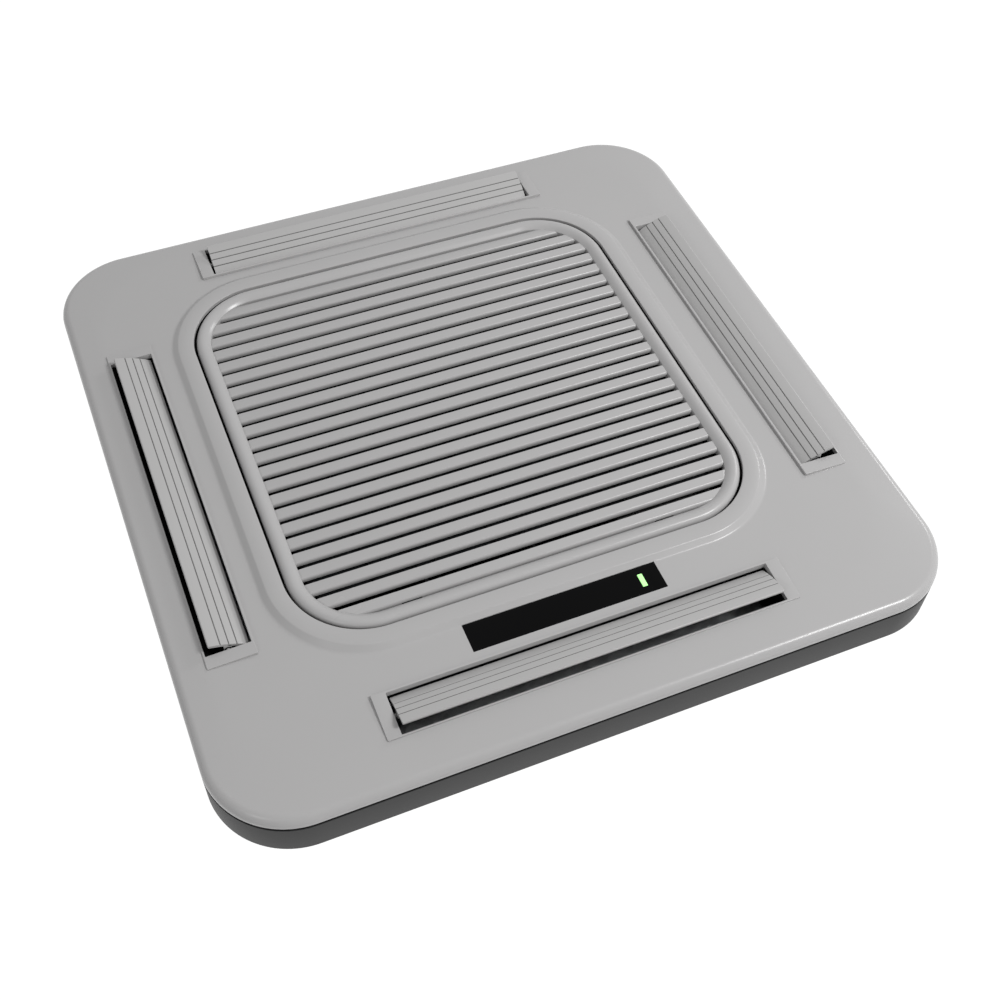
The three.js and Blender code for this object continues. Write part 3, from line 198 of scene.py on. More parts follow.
# Rims of (radius, height), upwards, turned round an axis: x = r cos t, y = r sin t. The ends are flat.
def lathe(rims, start, axis, segments):
    t = np.linspace(0, 2 * np.pi, segments, endpoint=False)
    r, h = np.asarray(rims, float).T[:, :, None]
    points = np.stack([r * np.cos(t), r * np.sin(t), h + 0 * t], axis=-1)
    if axis == "x":
        points = points[..., [2, 0, 1]]
    return gridShape(points + np.asarray(start), caps=True)


# Plain round bar.
def rod(radius, length, start, axis, segments):
    return lathe([(radius, 0), (radius, length)], start, axis, segments)


# A shape drawn for the front is turned by quarter turns round the outlets' centre to its side.
def atSide(shape, side):
    angle = sides.index(side) * np.pi / 2
    c, s = np.round([np.cos(angle), np.sin(angle)])
    points, faces = shape
    turned = points.copy()
    turned[:, 0] = outletCentre[0] + c * points[:, 0] - s * points[:, 1]
    turned[:, 1] = outletCentre[1] + s * points[:, 0] + c * points[:, 1]
    return turned, faces


# Materials.

# Node group with named inputs and outputs, and its own input and output nodes.
def newGroup(name, inputs, outputs):
    group = bpy.data.node_groups.new(name, "ShaderNodeTree")
    for socketName, kind, value in inputs:
        socket = group.interface.new_socket(socketName, in_out="INPUT", socket_type=kind)
        socket.default_value = value
    for socketName, kind in outputs:
        group.interface.new_socket(socketName, in_out="OUTPUT", socket_type=kind)
    return group, group.nodes.new("NodeGroupInput"), group.nodes.new("NodeGroupOutput")


def addNode(tree, kind, **settings):
    node = tree.nodes.new(kind)
    for key, value in settings.items():
        setattr(node, key, value)
    return node


def mathNode(tree, operation, first, second):
    node = addNode(tree, "ShaderNodeMath", operation=operation)
    for socket, value in zip(node.inputs, (first, second)):
        if isinstance(value, (int, float)):
            socket.default_value = value
        else:
            tree.links.new(value, socket)
    return node.outputs[0]


# Moulded or painted skin: cloudy tone, fine grain in the height, and a roughness that drifts.
def skinGroup():
    group, given, result = newGroup("mouldedSkin", [
        ("Color", "NodeSocketColor", (0.5, 0.5, 0.5, 1)), ("Clouds", "NodeSocketFloat", 0.03),
        ("Grain Scale", "NodeSocketFloat", 1400.0), ("Roughness", "NodeSocketFloat", 0.4),
        ("Drift", "NodeSocketFloat", 0.05)],
        [("Color", "NodeSocketColor"), ("Roughness", "NodeSocketFloat"), ("Height", "NodeSocketFloat")])
    place = addNode(group, "ShaderNodeTexCoord")
    clouds = addNode(group, "ShaderNodeTexNoise")
    clouds.inputs["Scale"].default_value = 7
    clouds.inputs["Detail"].default_value = 3
    grain = addNode(group, "ShaderNodeTexNoise")
    grain.inputs["Detail"].default_value = 2
    for texture in (clouds, grain):
        group.links.new(place.outputs["Object"], texture.inputs["Vector"])
    group.links.new(given.outputs["Grain Scale"], grain.inputs["Scale"])
    centred = mathNode(group, "SUBTRACT", clouds.outputs["Fac"], 0.5)
    tone = mathNode(group, "MULTIPLY_ADD", centred, given.outputs["Clouds"])
    tone.node.inputs[2].default_value = 1
    shade = addNode(group, "ShaderNodeVectorMath", operation="SCALE")
    group.links.new(given.outputs["Color"], shade.inputs[0])
    group.links.new(tone, shade.inputs["Scale"])
    drift = mathNode(group, "MULTIPLY", centred, given.outputs["Drift"])
    rough = mathNode(group, "ADD", drift, given.outputs["Roughness"])
    group.links.new(shade.outputs[0], result.inputs["Color"])
    group.links.new(rough, result.inputs["Roughness"])
    group.links.new(grain.outputs["Fac"], result.inputs["Height"])
    return group


# Sheet metal: large crystals of a zinc coat, each with its own tone, and fine rolling lines.
def zincGroup():
    group, given, result = newGroup("zincCoat", [
        ("Color", "NodeSocketColor", (0.5, 0.5, 0.5, 1)), ("Crystal Scale", "NodeSocketFloat", 90.0),
        ("Contrast", "NodeSocketFloat", 0.25)],
        [("Color", "NodeSocketColor"), ("Roughness", "NodeSocketFloat"), ("Height", "NodeSocketFloat")])
    place = addNode(group, "ShaderNodeTexCoord")
    crystals = addNode(group, "ShaderNodeTexVoronoi")
    stretch = addNode(group, "ShaderNodeMapping")
    stretch.inputs["Scale"].default_value = (30, 900, 900)
    lines = addNode(group, "ShaderNodeTexNoise")
    lines.inputs["Scale"].default_value = 1
    group.links.new(place.outputs["Object"], crystals.inputs["Vector"])
    group.links.new(given.outputs["Crystal Scale"], crystals.inputs["Scale"])
    group.links.new(place.outputs["Object"], stretch.inputs["Vector"])
    group.links.new(stretch.outputs[0], lines.inputs["Vector"])
    split = addNode(group, "ShaderNodeSeparateColor")
    group.links.new(crystals.outputs["Color"], split.inputs[0])
    centred = mathNode(group, "SUBTRACT", split.outputs[0], 0.5)
    tone = mathNode(group, "MULTIPLY_ADD", centred, given.outputs["Contrast"])
    tone.node.inputs[2].default_value = 1
    shade = addNode(group, "ShaderNodeVectorMath", operation="SCALE")
    group.links.new(given.outputs["Color"], shade.inputs[0])
    group.links.new(tone, shade.inputs["Scale"])
    rough = mathNode(group, "MULTIPLY_ADD", split.outputs[1], 0.15)
    rough.node.inputs[2].default_value = 0.32
    group.links.new(shade.outputs[0], result.inputs["Color"])
    group.links.new(rough, result.inputs["Roughness"])
    group.links.new(lines.outputs["Fac"], result.inputs["Height"])
    return group


# Values that hold all over go on the shader's own sockets; an underscore stands for a space.
def newMaterial(name, **fixed):
    material = bpy.data.materials.new(name)
    material.use_nodes = True
    shader = material.node_tree.nodes["Principled BSDF"]
    for key, value in fixed.items():
        shader.inputs[key.replace("_", " ")].default_value = value
    return material, shader


# The group feeds the shader's colour and roughness, and its height makes the relief.
def useGroup(material, shader, group, bump, distance, values):
    tree = material.node_tree
    node = addNode(tree, "ShaderNodeGroup", node_tree=group)
    for key, value in values.items():
        node.inputs[key].default_value = value
    tree.links.new(node.outputs["Color"], shader.inputs["Base Color"])
    tree.links.new(node.outputs["Roughness"], shader.inputs["Roughness"])
    relief = addNode(tree, "ShaderNodeBump")
    relief.inputs["Strength"].default_value = bump
    relief.inputs["Distance"].default_value = distance
    tree.links.new(node.outputs["Height"], relief.inputs["Height"])
    tree.links.new(relief.outputs[0], shader.inputs["Normal"])
    return node, relief


skin = skinGroup()
zinc = zincGroup()


def mouldedPlastic(name, color, roughness, grainScale, bump, specular=0.5):
    clouds, drift, depth = 0.03, 0.08, 0.0002
    material, shader = newMaterial(name, Specular_IOR_Level=specular)
    useGroup(material, shader, skin, bump, depth, {
        "Color": (*color, 1), "Clouds": clouds, "Grain Scale": grainScale, "Roughness": roughness,
        "Drift": drift})
    return material


def sheetMetal(name, color, crystalScale, contrast):
    bump, depth = 0.1, 0.0001
    material, shader = newMaterial(name, Metallic=0.9)
    useGroup(material, shader, zinc, bump, depth, {
        "Color": (*color, 1), "Crystal Scale": crystalScale, "Contrast": contrast})
    return material


# Plastic: name, colour, roughness, how fine the grain is, its relief, and the specular level.
# Metal: name, colour, how fine the crystals are, and how much their tones differ.
panelPlastic = mouldedPlastic("panelPlastic", (0.450, 0.445, 0.445), 0.25, 900, 0.05, specular=0.35)
grillePlastic = mouldedPlastic("grillePlastic", (0.452, 0.447, 0.447), 0.26, 900, 0.05, specular=0.35)
flapPlastic = mouldedPlastic("flapPlastic", (0.462, 0.458, 0.456), 0.30, 900, 0.05, specular=0.35)
rimPlastic = mouldedPlastic("rimPlastic", (0.031, 0.031, 0.031), 0.5, 1600, 0.25, specular=0.3)
blackPlastic = mouldedPlastic("blackPlastic", (0.006, 0.006, 0.0065), 0.75, 1500, 0.3, specular=0.06)
# Painted shade: the dark grey laid in the flaps' grooves stands for their shadow.
groovePaintedShade = mouldedPlastic("groovePaintedShade", (0.15, 0.149, 0.147), 0.5, 900, 0.05, specular=0.2)
netFabric = mouldedPlastic("netFabric", (0.010, 0.011, 0.012), 0.85, 700, 0.5, specular=0.05)
displayGloss = mouldedPlastic("displayGloss", (0.004, 0.004, 0.0042), 0.14, 500, 0.01, specular=0.03)
zincSheet = sheetMetal("zincSheet", (0.46, 0.47, 0.48), 130, 0.16)
brightSteel = sheetMetal("brightSteel", (0.58, 0.58, 0.59), 600, 0.08)
foamWhite = mouldedPlastic("foamWhite", (0.78, 0.78, 0.75), 0.85, 350, 0.6)
foamDark = mouldedPlastic("foamDark", (0.012, 0.012, 0.013), 0.85, 350, 0.6, specular=0.05)
greyPlastic = mouldedPlastic("greyPlastic", (0.26, 0.29, 0.31), 0.45, 1200, 0.2)
copperTube = sheetMetal("copperTube", (0.62, 0.27, 0.14), 200, 0.15)
machinedBrass = sheetMetal("machinedBrass", (0.55, 0.4, 0.16), 500, 0.08)
boardGreen = mouldedPlastic("boardGreen", (0.02, 0.1, 0.045), 0.35, 300, 0.2)
blackRubber = mouldedPlastic("blackRubber", (0.010, 0.010, 0.010), 0.8, 900, 0.3, specular=0.1)
lampGreen = newMaterial("lampGreen", Roughness=0.3, Base_Color=(0.4, 0.9, 0.3, 1),
                        Emission_Color=(0.42, 0.95, 0.34, 1), Emission_Strength=0.75)[0]
print("materials are ready")


# Camera, floor and lights.

# The focal length is in pixels of the photograph's frame.
def setCamera():
    photo = {"focal": 1350.7, "frame": 1000, "sensor": 36, "shift": (0.0014, -0.0016), "farthest": 50,
             "place": (-0.4599, -1.1066, 1.6100), "right": (0.92427, -0.38081, 0.02669),
             "down": (-0.28639, -0.73794, -0.61108), "ahead": (0.25240, 0.55716, -0.79112)}
    data = bpy.data.cameras.new("photoCamera")
    data.sensor_width = photo["sensor"]
    data.sensor_fit = "HORIZONTAL"
    data.lens = photo["focal"] * photo["sensor"] / photo["frame"]
    data.shift_x, data.shift_y = photo["shift"]
    data.clip_end = photo["farthest"]
    camera = bpy.data.objects.new("photoCamera", data)
    turn = np.eye(4)
    turn[:3, 0] = photo["right"]
    turn[:3, 1] = -np.array(photo["down"])
    turn[:3, 2] = -np.array(photo["ahead"])
    turn[:3, 3] = photo["place"]
    camera.matrix_world = Matrix(turn.tolist())
    bpy.context.scene.collection.objects.link(camera)
    bpy.context.scene.camera = camera


# Floor that glows where the camera sees it and takes the object's shadow.
def setFloor():
    look = {"color": (0.8, 0.8, 0.8, 1), "roughness": 0.9, "glow": 1.09, "glowShare": 0.93, "reach": 8}
    material, shader = newMaterial("floorWhite", Roughness=look["roughness"], Base_Color=look["color"])
    tree = material.node_tree
    path = addNode(tree, "ShaderNodeLightPath")
    glow = addNode(tree, "ShaderNodeEmission")
    seen = mathNode(tree, "MAXIMUM", path.outputs["Is Camera Ray"], path.outputs["Is Glossy Ray"])
    seen = mathNode(tree, "MAXIMUM", seen, path.outputs["Is Transmission Ray"])
    share = mathNode(tree, "MULTIPLY", seen, look["glowShare"])
    blend = addNode(tree, "ShaderNodeMixShader")
    tree.links.new(share, blend.inputs[0])
    tree.links.new(shader.outputs[0], blend.inputs[1])
    tree.links.new(glow.outputs[0], blend.inputs[2])
    glow.inputs["Strength"].default_value = look["glow"]
    tree.links.new(blend.outputs[0], tree.nodes["Material Output"].inputs["Surface"])
    far = look["reach"]
    mesh = bpy.data.meshes.new("floor")
    mesh.from_pydata([(-far, -far, 0), (far, -far, 0), (far, far, 0), (-far, far, 0)], [], [(0, 1, 2, 3)])
    mesh.materials.append(material)
    floor = bpy.data.objects.new("floor", mesh)
    bpy.context.scene.collection.objects.link(floor)


# White surroundings, dimmer where they light the object, and three round lamps that face the panel.
def setLights():
    level = {"room": 0.415, "seen": 1.0}
    target = (0, 0, 0.24)
    lamps = {
        "rightKey": {"place": (2.1, -1.56, 3.24), "size": 0.95, "power": 82},
        "leftKey": {"place": (-2.4, -1.8, 2.2), "size": 0.9, "power": 8},
        "sideFill": {"place": (2.7, 0.9, 1.8), "size": 0.7, "power": 15},
    }
    world = bpy.data.worlds.new("studio")
    world.use_nodes = True
    tree = world.node_tree
    background = tree.nodes["Background"]
    background.inputs["Color"].default_value = (1, 1, 1, 1)
    path = addNode(tree, "ShaderNodeLightPath")
    seen = mathNode(tree, "MAXIMUM", path.outputs["Is Camera Ray"], path.outputs["Is Transmission Ray"])
    seen = mathNode(tree, "MAXIMUM", seen, path.outputs["Is Glossy Ray"])
    strength = mathNode(tree, "MULTIPLY_ADD", seen, level["seen"] - level["room"])
    strength.node.inputs[2].default_value = level["room"]
    tree.links.new(strength, background.inputs["Strength"])
    bpy.context.scene.world = world
    for name, lamp in lamps.items():
        data = bpy.data.lights.new(name, "AREA")
        data.shape = "DISK"
        data.size = lamp["size"]
        data.energy = lamp["power"]
        light = bpy.data.objects.new(name, data)
        place = np.array(lamp["place"])
        away = place - np.array(target)
        away /= np.linalg.norm(away)
        across = np.cross([0, 0, 1], away)
        across /= np.linalg.norm(across)
        turn = np.eye(4)
        turn[:3, 0], turn[:3, 1], turn[:3, 2], turn[:3, 3] = across, np.cross(away, across), away, place
        light.matrix_world = Matrix(turn.tolist())
        bpy.context.scene.collection.objects.link(light)


setCamera()
setFloor()
setLights()
bpy.context.scene.view_settings.view_transform = "Standard"
print("camera, floor and lights are set")


# Fascia. It is cut for the outlets and for the swing of the grille's back border, so their sizes
# come first.
outlet = {"inner": 0.368, "width": 0.061, "length": 0.532, "slotHalf": (0.2485, 0.0279), "middle": 0.3989,
          "stand": 0.004, "tilt": 0.0023, "wall": 0.0012, "bend": 0.240, "foot": 0.1778, "lean": 0.032,
          "corner": 0.0014, "slotCorner": 0.0012, "edgeRound": 0.0005, "lipFoot": 0.2402, "pinHole": 0.0026,
          "seatLap": 0.0006, "seatLevels": (0.225, 0.253)}
fascia = {"half": 0.475, "corner": 0.104, "foot": 0.228, "edge": 0.003, "round": 0.012,
          "creaseHalf": 0.430, "creaseCorner": 0.125, "creaseRound": 0.010, "wall": 0.0025,
          "edgeWall": 0.0028, "rims": 28, "seam": (0.3085, 0.3045), "seamCorner": 0.101,
          "ledge": 0.018, "ledgeTop": 0.2357, "collarWidth": 0.0215, "collarSlope": 0.008,
          "collarTop": 0.2523, "collarFall": 0.0010, "shoulder": 0.0006, "shadeLayer": 0.0005,
          "stripTop": 0.2465, "skirt": (0.0029, 0.0053), "skirtFoot": 0.1778, "skirtLap": 0.0015,
          "shadeBand": (0.0006, 0.2231, 0.2279), "windowFit": 0.0003, "windowLevels": (0.240, 0.2475)}
hinge = {"y": 0.3195, "z": 0.248, "spread": 0.150, "knuckle": 0.012, "eye": 0.0038, "sweep": 0.0159,
         "sweepHalf": 0.3, "sweepLevels": (0.2307, 0.2367), "play": 0.0006, "pinHole": 0.0023,
         "slotLevels": (0.230, 0.2503), "slotDepth": 0.02}


# Outlines of the panel's edge, the field's crease and the grille's seam, a step in or out.
def panelRing(step, level):
    half = fascia["half"] - step
    return (0, 0, half, half, fascia["corner"] - step, level)


def creaseRing(step, level):
    half = fascia["creaseHalf"] + step
    return (*outletCentre, half, half, fascia["creaseCorner"] + step, level)


def seamRing(step, level):
    halfX, halfY = fascia["seam"]
    return (*grilleCentre, halfX + step, halfY + step, fascia["seamCorner"] + step, level)


# Closed ring of straight walls through the given rounded rectangles.
def wallRing(rings):
    return gridShape(ringGrid(rings, fascia["rims"]), wrapRows=True)


# Room that the grille's back border swings through as it opens: a round bar along the hinge's axis,
# kept inside the seam and in the ledge's height.
def hingeSweep():
    half, clear = hinge["sweepHalf"], 0.0001
    bar = rod(hinge["sweep"], 2 * half, (grilleCentre[0] - half, hinge["y"], hinge["z"]), "x", 64)
    levels = [seamRing(-clear, level) for level in hinge["sweepLevels"]]
    inside = gridShape(ringGrid(levels, fascia["rims"]), caps=True)
    return cutShape(inside, [bar], "INTERSECT")


# Room for an outlet's frame, whose edges lie over the fascia by the lap.
def outletSeat():
    lap, half = outlet["seatLap"], outlet["length"] / 2
    low, high = outlet["seatLevels"]
    return plainBlock((lap - half, lap - outlet["inner"] - outlet["width"], low),
                      (half - lap, -outlet["inner"] - lap, high))


# Skin of one wall: up the panel's edge, over the field and the collar, down the seam, over the ledge,
# and back underneath. It has a strip in the rebate and a skirt as pieces of their own.
def makeFascia():
    f = fascia
    top = f["foot"] + f["edge"] + f["round"]
    wide, foot = f["collarWidth"], f["collarWidth"] + f["collarSlope"]
    wall, collar, fall, shadeLayer = f["wall"], f["collarTop"], f["collarFall"], f["shadeLayer"]
    angle = np.linspace(0, np.pi / 2, 13)
    arc = [(panelRing(f["round"] * (1 - np.cos(a)), top - f["round"] + f["round"] * np.sin(a)), 0, 0)
           for a in angle]
    # Collar's crown: height = top - fall t^2, with t from -1 at the seam to 1 at the crease.
    crown = [(seamRing(wide / 2 * (1 + t), collar - fall * t ** 2), 0, 0)
             for t in np.linspace(0.9, -0.88, 13)]
    # Each key is a ring, how far its edge is rounded, and in how many steps.
    keys = [
        (panelRing(0, f["foot"]), 0.0004, 2), *arc,
        (creaseRing(0, fieldLevel), f["creaseRound"], 8),
        (seamRing(foot + 0.001, fieldLevel), 0.0022, 6),
        (seamRing(wide + f["shoulder"], collar - fall * 1.12), 0.0011, 6),
        *crown,
        (seamRing(shadeLayer, collar - fall * 1.08), 0.0007, 5),
        (seamRing(shadeLayer, f["ledgeTop"] - shadeLayer), 0.0002, 1),
        (seamRing(-f["ledge"], f["ledgeTop"] - shadeLayer), 0.0003, 2),
        (seamRing(-f["ledge"], f["ledgeTop"] - wall), 0.0003, 2),
        (seamRing(wall, f["ledgeTop"] - wall), 0, 0),
        (seamRing(wall, collar - fall - wall), 0, 0),
        (seamRing(wide, collar - fall - wall), 0, 0),
        (seamRing(foot - 0.001, fieldLevel - wall), 0, 0),
        (creaseRing(0, fieldLevel - wall), 0, 0),
        (panelRing(f["round"], top - wall), 0.004, 3),
        (panelRing(f["edgeWall"], f["foot"] + 0.001), 0, 0),
        (panelRing(f["edgeWall"], f["foot"]), 0, 0),
    ]
    low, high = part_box("display_window")
    fit = f["windowFit"]
    window = plainBlock((low.x - fit, low.y - fit, f["windowLevels"][0]),
                        (high.x + fit, high.y + fit, f["windowLevels"][1]))
    cutters = [*(atSide(outletSeat(), side) for side in sides), window, hingeSweep()]
    makePiece("fascia_skin", cutShape(wallRing(softRings(keys)), cutters), panelPlastic,
              replaces=("fascia",), sharpAngle=30)
    # Black strip in the grille's rebate, painted shade that stands for the deep gap's darkness: up the wall
    # and over the ledge, the shade layer's thickness.
    brim = 0.0005 - f["ledge"]
    strip = wallRing([
        seamRing(shadeLayer, f["ledgeTop"] - shadeLayer), seamRing(shadeLayer, f["stripTop"]),
        seamRing(0, f["stripTop"] - 0.0003), seamRing(0, f["ledgeTop"]),
        seamRing(brim, f["ledgeTop"]), seamRing(brim, f["ledgeTop"] - shadeLayer)])
    makePiece("seam_shade_strip", cutShape(strip, [hingeSweep()]), blackRubber,
              replaces=("fascia",))
    # The skirt is black, painted shade for the gap under the fascia, and a band of it steps out to a little
    # behind the fascia's outer side so that the gap reads as a dark line.
    near, far = f["skirt"]
    shadeBand, shadeBandFoot, shadeBandTop = f["shadeBand"]
    skirtTop = f["foot"] + f["skirtLap"]
    skirt = wallRing([panelRing(near, f["skirtFoot"]), panelRing(near, shadeBandFoot),
                      panelRing(shadeBand, shadeBandFoot), panelRing(shadeBand, shadeBandTop), panelRing(near, shadeBandTop),
                      panelRing(near, skirtTop), panelRing(far, skirtTop), panelRing(far, f["skirtFoot"])])
    makePiece("fascia_skirt", skirt, blackPlastic, replaces=("fascia",))


makeFascia()
print("fascia is made")


# Surround.

surround = {"foot": 0.175, "top": 0.2230, "wall": 0.0025, "deckFoot": 0.1755, "deck": 0.1775,
            "mouth": 0.300, "mouthCorner": 0.060, "lip": 0.030, "hole": 0.0025,
            "passage": (0.338, 0.395), "cutFoot": 0.170, "cutTop": 0.182}


# Rim and its deck in one wall, open in the middle, with a lip that lies on the ceiling.
def makeSurround():
    s = surround
    mouth = lambda level: (*outletCentre, s["mouth"], s["mouth"], s["mouthCorner"], level)
    keys = [
        (panelRing(0.0002, s["foot"]), 0.0010, 4), (panelRing(0, s["top"]), 0.0007, 4),
        (panelRing(s["wall"], s["top"]), 0.0003, 2), (panelRing(s["wall"], s["deck"]), 0, 0),
        (mouth(s["deck"]), 0, 0), (mouth(s["deckFoot"]), 0, 0),
        (panelRing(s["lip"], s["deckFoot"]), 0, 0), (panelRing(s["lip"], s["foot"]), 0, 0)]
    half = outlet["slotHalf"][0]
    near, far = s["passage"]
    passage = plainBlock((-half, -far, s["cutFoot"]), (half, -near, s["cutTop"]))
    holes = []
    for name in nodes:
        if name.startswith("panel_screw"):
            low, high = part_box(name)
            start = ((low.x + high.x) / 2, (low.y + high.y) / 2, s["cutFoot"])
            holes.append(rod(s["hole"], 0.01, start, "z", 20))
    body = cutShape(wallRing(softRings(keys)), [*(atSide(passage, side) for side in sides), *holes])
    makePiece("surround_skin", body, rimPlastic, replaces=("surround",))


makeSurround()
print("surround is made")


# Intake grille.

grille = {"half": (0.3055, 0.3015), "corner": 0.098, "border": 0.020, "foot": 0.236, "top": 0.254,
          "crest": 0.008, "shoulder": 0.008, "fall": 0.0055, "slats": 23, "width": 0.017, "thick": 0.009,
          "back": 0.0016, "backCut": 0.0013, "roll": 0.0034, "face": 0.0077, "footRound": 0.0009,
          "sink": 0.0055, "slatLap": 0.0025, "ribs": 3, "ribWidth": 0.004, "ribLap": 0.002,
          "ribRise": 0.001,
          "tips": [(0, 0.62), (0.0005, 0.74), (0.0014, 0.86), (0.0028, 0.95), (0.0048, 1.0)]}
latch = {"spread": 0.170, "width": 0.020, "tip": -0.2573, "length": 0.024, "wall": 0.003,
         "foot": 0.2289, "top": 0.2329, "floor": 0.0023, "boxTop": 0.244, "play": 0.0003}


# Outline of the grille, a step inwards.
def grilleRing(step, level):
    halfX, halfY = grille["half"]
    return (*grilleCentre, halfX - step, halfY - step, grille["corner"] - step, level)


# Half width of the opening at a distance from its middle line: the straight half, less the corner's
# circle, corner - sqrt(corner^2 - d^2), where d runs into the corner.
def openHalfAt(away, step):
    halfX, halfY = (half - step for half in grille["half"])
    corner = grille["corner"] - step
    into = np.clip(np.abs(away) - (halfY - corner), 0, corner)
    return halfX - corner + np.sqrt(np.maximum(corner ** 2 - into ** 2, 0))


# Border: a quarter oval from its outer side to the crest, then height = crest - fall t^2 inwards.
def borderShape():
    g = grille
    outer = [grilleRing(g["crest"] * (1 - np.cos(a)), g["top"] - g["shoulder"] * (1 - np.sin(a)))
             for a in np.linspace(0, np.pi / 2, 14)]
    reach = g["border"] - 0.0009 - g["crest"]
    inner = [grilleRing(g["crest"] + reach * t, g["top"] - g["fall"] * t ** 2)
             for t in np.linspace(0, 1, 14)[1:]]
    low = g["top"] - g["fall"]
    rings = [grilleRing(g["border"], g["foot"]), grilleRing(0.0015, g["foot"]),
             grilleRing(0, g["foot"] + 0.0015), *outer, *inner,
             grilleRing(g["border"] - 0.0003, low - 0.0005), grilleRing(g["border"], low - 0.0014)]
    return wallRing(rings)


# Slat: its flat top rolls over into the front face by a quarter oval, the face goes straight down to a
# small round foot, and an underside rises from there to a thin rounded back edge. Each end follows
# the border's inner side.
def slatShape(middle):
    g = grille
    a, b, r = g["roll"], g["thick"] / 2, g["footRound"]
    nose = np.linspace(np.pi / 2, 0, 12)
    outward = [g["width"] / 2 - a + a * np.cos(nose)]
    up = [b * np.sin(nose) - b]
    foot = np.linspace(0, -np.pi / 2, 5)
    outward.append(g["width"] / 2 - r + r * np.cos(foot))
    up.append(r - g["face"] + r * np.sin(foot))
    tail = np.linspace(-np.pi / 2, -3 * np.pi / 2, 9)
    e = g["back"] / 2
    outward.append(g["backCut"] + e - g["width"] / 2 + e * np.cos(tail))
    up.append(e * np.sin(tail) - e)
    outward, up = np.concatenate(outward), np.concatenate(up)
    away = middle - outward
    reach = openHalfAt(away, g["border"] - g["slatLap"])
    slatFoot = g["top"] - g["sink"] - g["thick"]
    rows = []
    # The tips roll down: close to the end the section's height is a smaller share of the full one.
    for sign, tips in ((-1, g["tips"]), (1, g["tips"][::-1])):
        for inward, share in tips:
            x = grilleCentre[0] + sign * (reach - inward)
            level = slatFoot + share * (up + g["thick"])
            rows.append(np.stack([x, grilleCentre[1] + away, level], axis=-1))
    return gridShape(np.array(rows), caps=True)


# Slots and bores in the border's back edge for the two hinge brackets and their pins.
def hingeCutters():
    cutters = []
    low, high = hinge["slotLevels"]
    for sign in (-1, 1):
        x = grilleCentre[0] + sign * hinge["spread"]
        w = hinge["knuckle"] / 2 + hinge["play"]
        cutters.append(plainBlock((x - w, hinge["y"] - hinge["eye"], low),
                                  (x + w, hinge["y"] + hinge["slotDepth"], high)))
        for reach, r in ((w, hinge["eye"]), (hinge["knuckle"], hinge["pinHole"])):
            cutters.append(rod(r, 2 * reach, (x - reach, hinge["y"], hinge["z"]), "x", 32))
    return cutters


# Thin bars across the slats' undersides.
def ribShapes(openHalf):
    g = grille
    ribs = []
    high = g["top"] - g["sink"] - g["thick"] + g["ribRise"]
    for i in range(1, g["ribs"] + 1):
        x = grilleCentre[0] + (g["half"][0] - g["border"]) * (2 * i / (g["ribs"] + 1) - 1)
        w, y = g["ribWidth"] / 2, openHalf + g["ribLap"]
        low = (x - w, grilleCentre[1] - y, g["foot"])
        ribs.append(softBlock(low, (x + w, grilleCentre[1] + y, high), 0.0005))
    return ribs


# Box that each latch slides in, open at both ends.
def latchHousings():
    play = latch["play"]
    housings = []
    for sign in (-1, 1):
        x = grilleCentre[0] + sign * latch["spread"]
        w = latch["width"] / 2
        near, far = latch["tip"] - play, latch["tip"] + latch["length"] - 0.002
        wide = w + latch["wall"]
        box = softBlock((x - wide, near, latch["foot"] - latch["floor"]), (x + wide, far, latch["boxTop"]),
                        0.0006)
        way = plainBlock((x - w - play, near - 0.002, latch["foot"] - play),
                         (x + w + play, far + 0.003, latch["top"] + play))
        housings.append(cutShape(box, [way]))
    return housings


def makeGrille():
    g = grille
    openHalf = g["half"][1] - g["border"]
    pitch = 2 * openHalf / g["slats"]
    shapes = [cutShape(borderShape(), hingeCutters())]
    shapes += [slatShape(-openHalf + (i + 0.5) * pitch) for i in range(g["slats"])]
    makePiece("grille_skin", joinShapes(shapes), grillePlastic, "grille",
              ("intake_grille",), 40)
    # Ribs and latch housings are black: painted shade that keeps the gaps between the slats dark.
    makePiece("grille_ribs", joinShapes(ribShapes(openHalf) + latchHousings()), blackPlastic, "grille",
              ("intake_grille",))


makeGrille()
print("grille is made")


# Outlets and flaps.

flap = {"chord": 0.0477, "inward": 0.0050, "thick": 0.004, "crown": 0.125, "rest": 23, "stand": 0.0113,
        "setBack": 0.0008, "endGap": 0.0035, "edge": 0.0012, "pin": 0.0023, "pinTip": 0.0004,
        "pinReach": 0.0082, "pivot": 0.24185, "boss": 0.0048, "bossWidth": 0.003,
        "postHalf": 0.0045, "postFoot": 0.0006, "postTop": 0.0083, "grooves": (-0.012, -0.0015, 0.009),
        "grooveWidth": 0.0015, "grooveDepth": 0.0014, "grooveFloor": 0.0004}


# Outline of the slot in an outlet, a step outwards; a lean moves it towards the grille.
def slotRing(step, level, lean=0):
    slotX, slotY = outlet["slotHalf"]
    return (0, lean - outlet["middle"], slotX + step, slotY + step, outlet["slotCorner"] + step, level)


# One bar along the flap's axis that bores both ends of the slot.
def pinBores():
    reach = 0.3
    return rod(outlet["pinHole"], 2 * reach, (-reach, -outlet["middle"], flap["pivot"]), "x", 24)


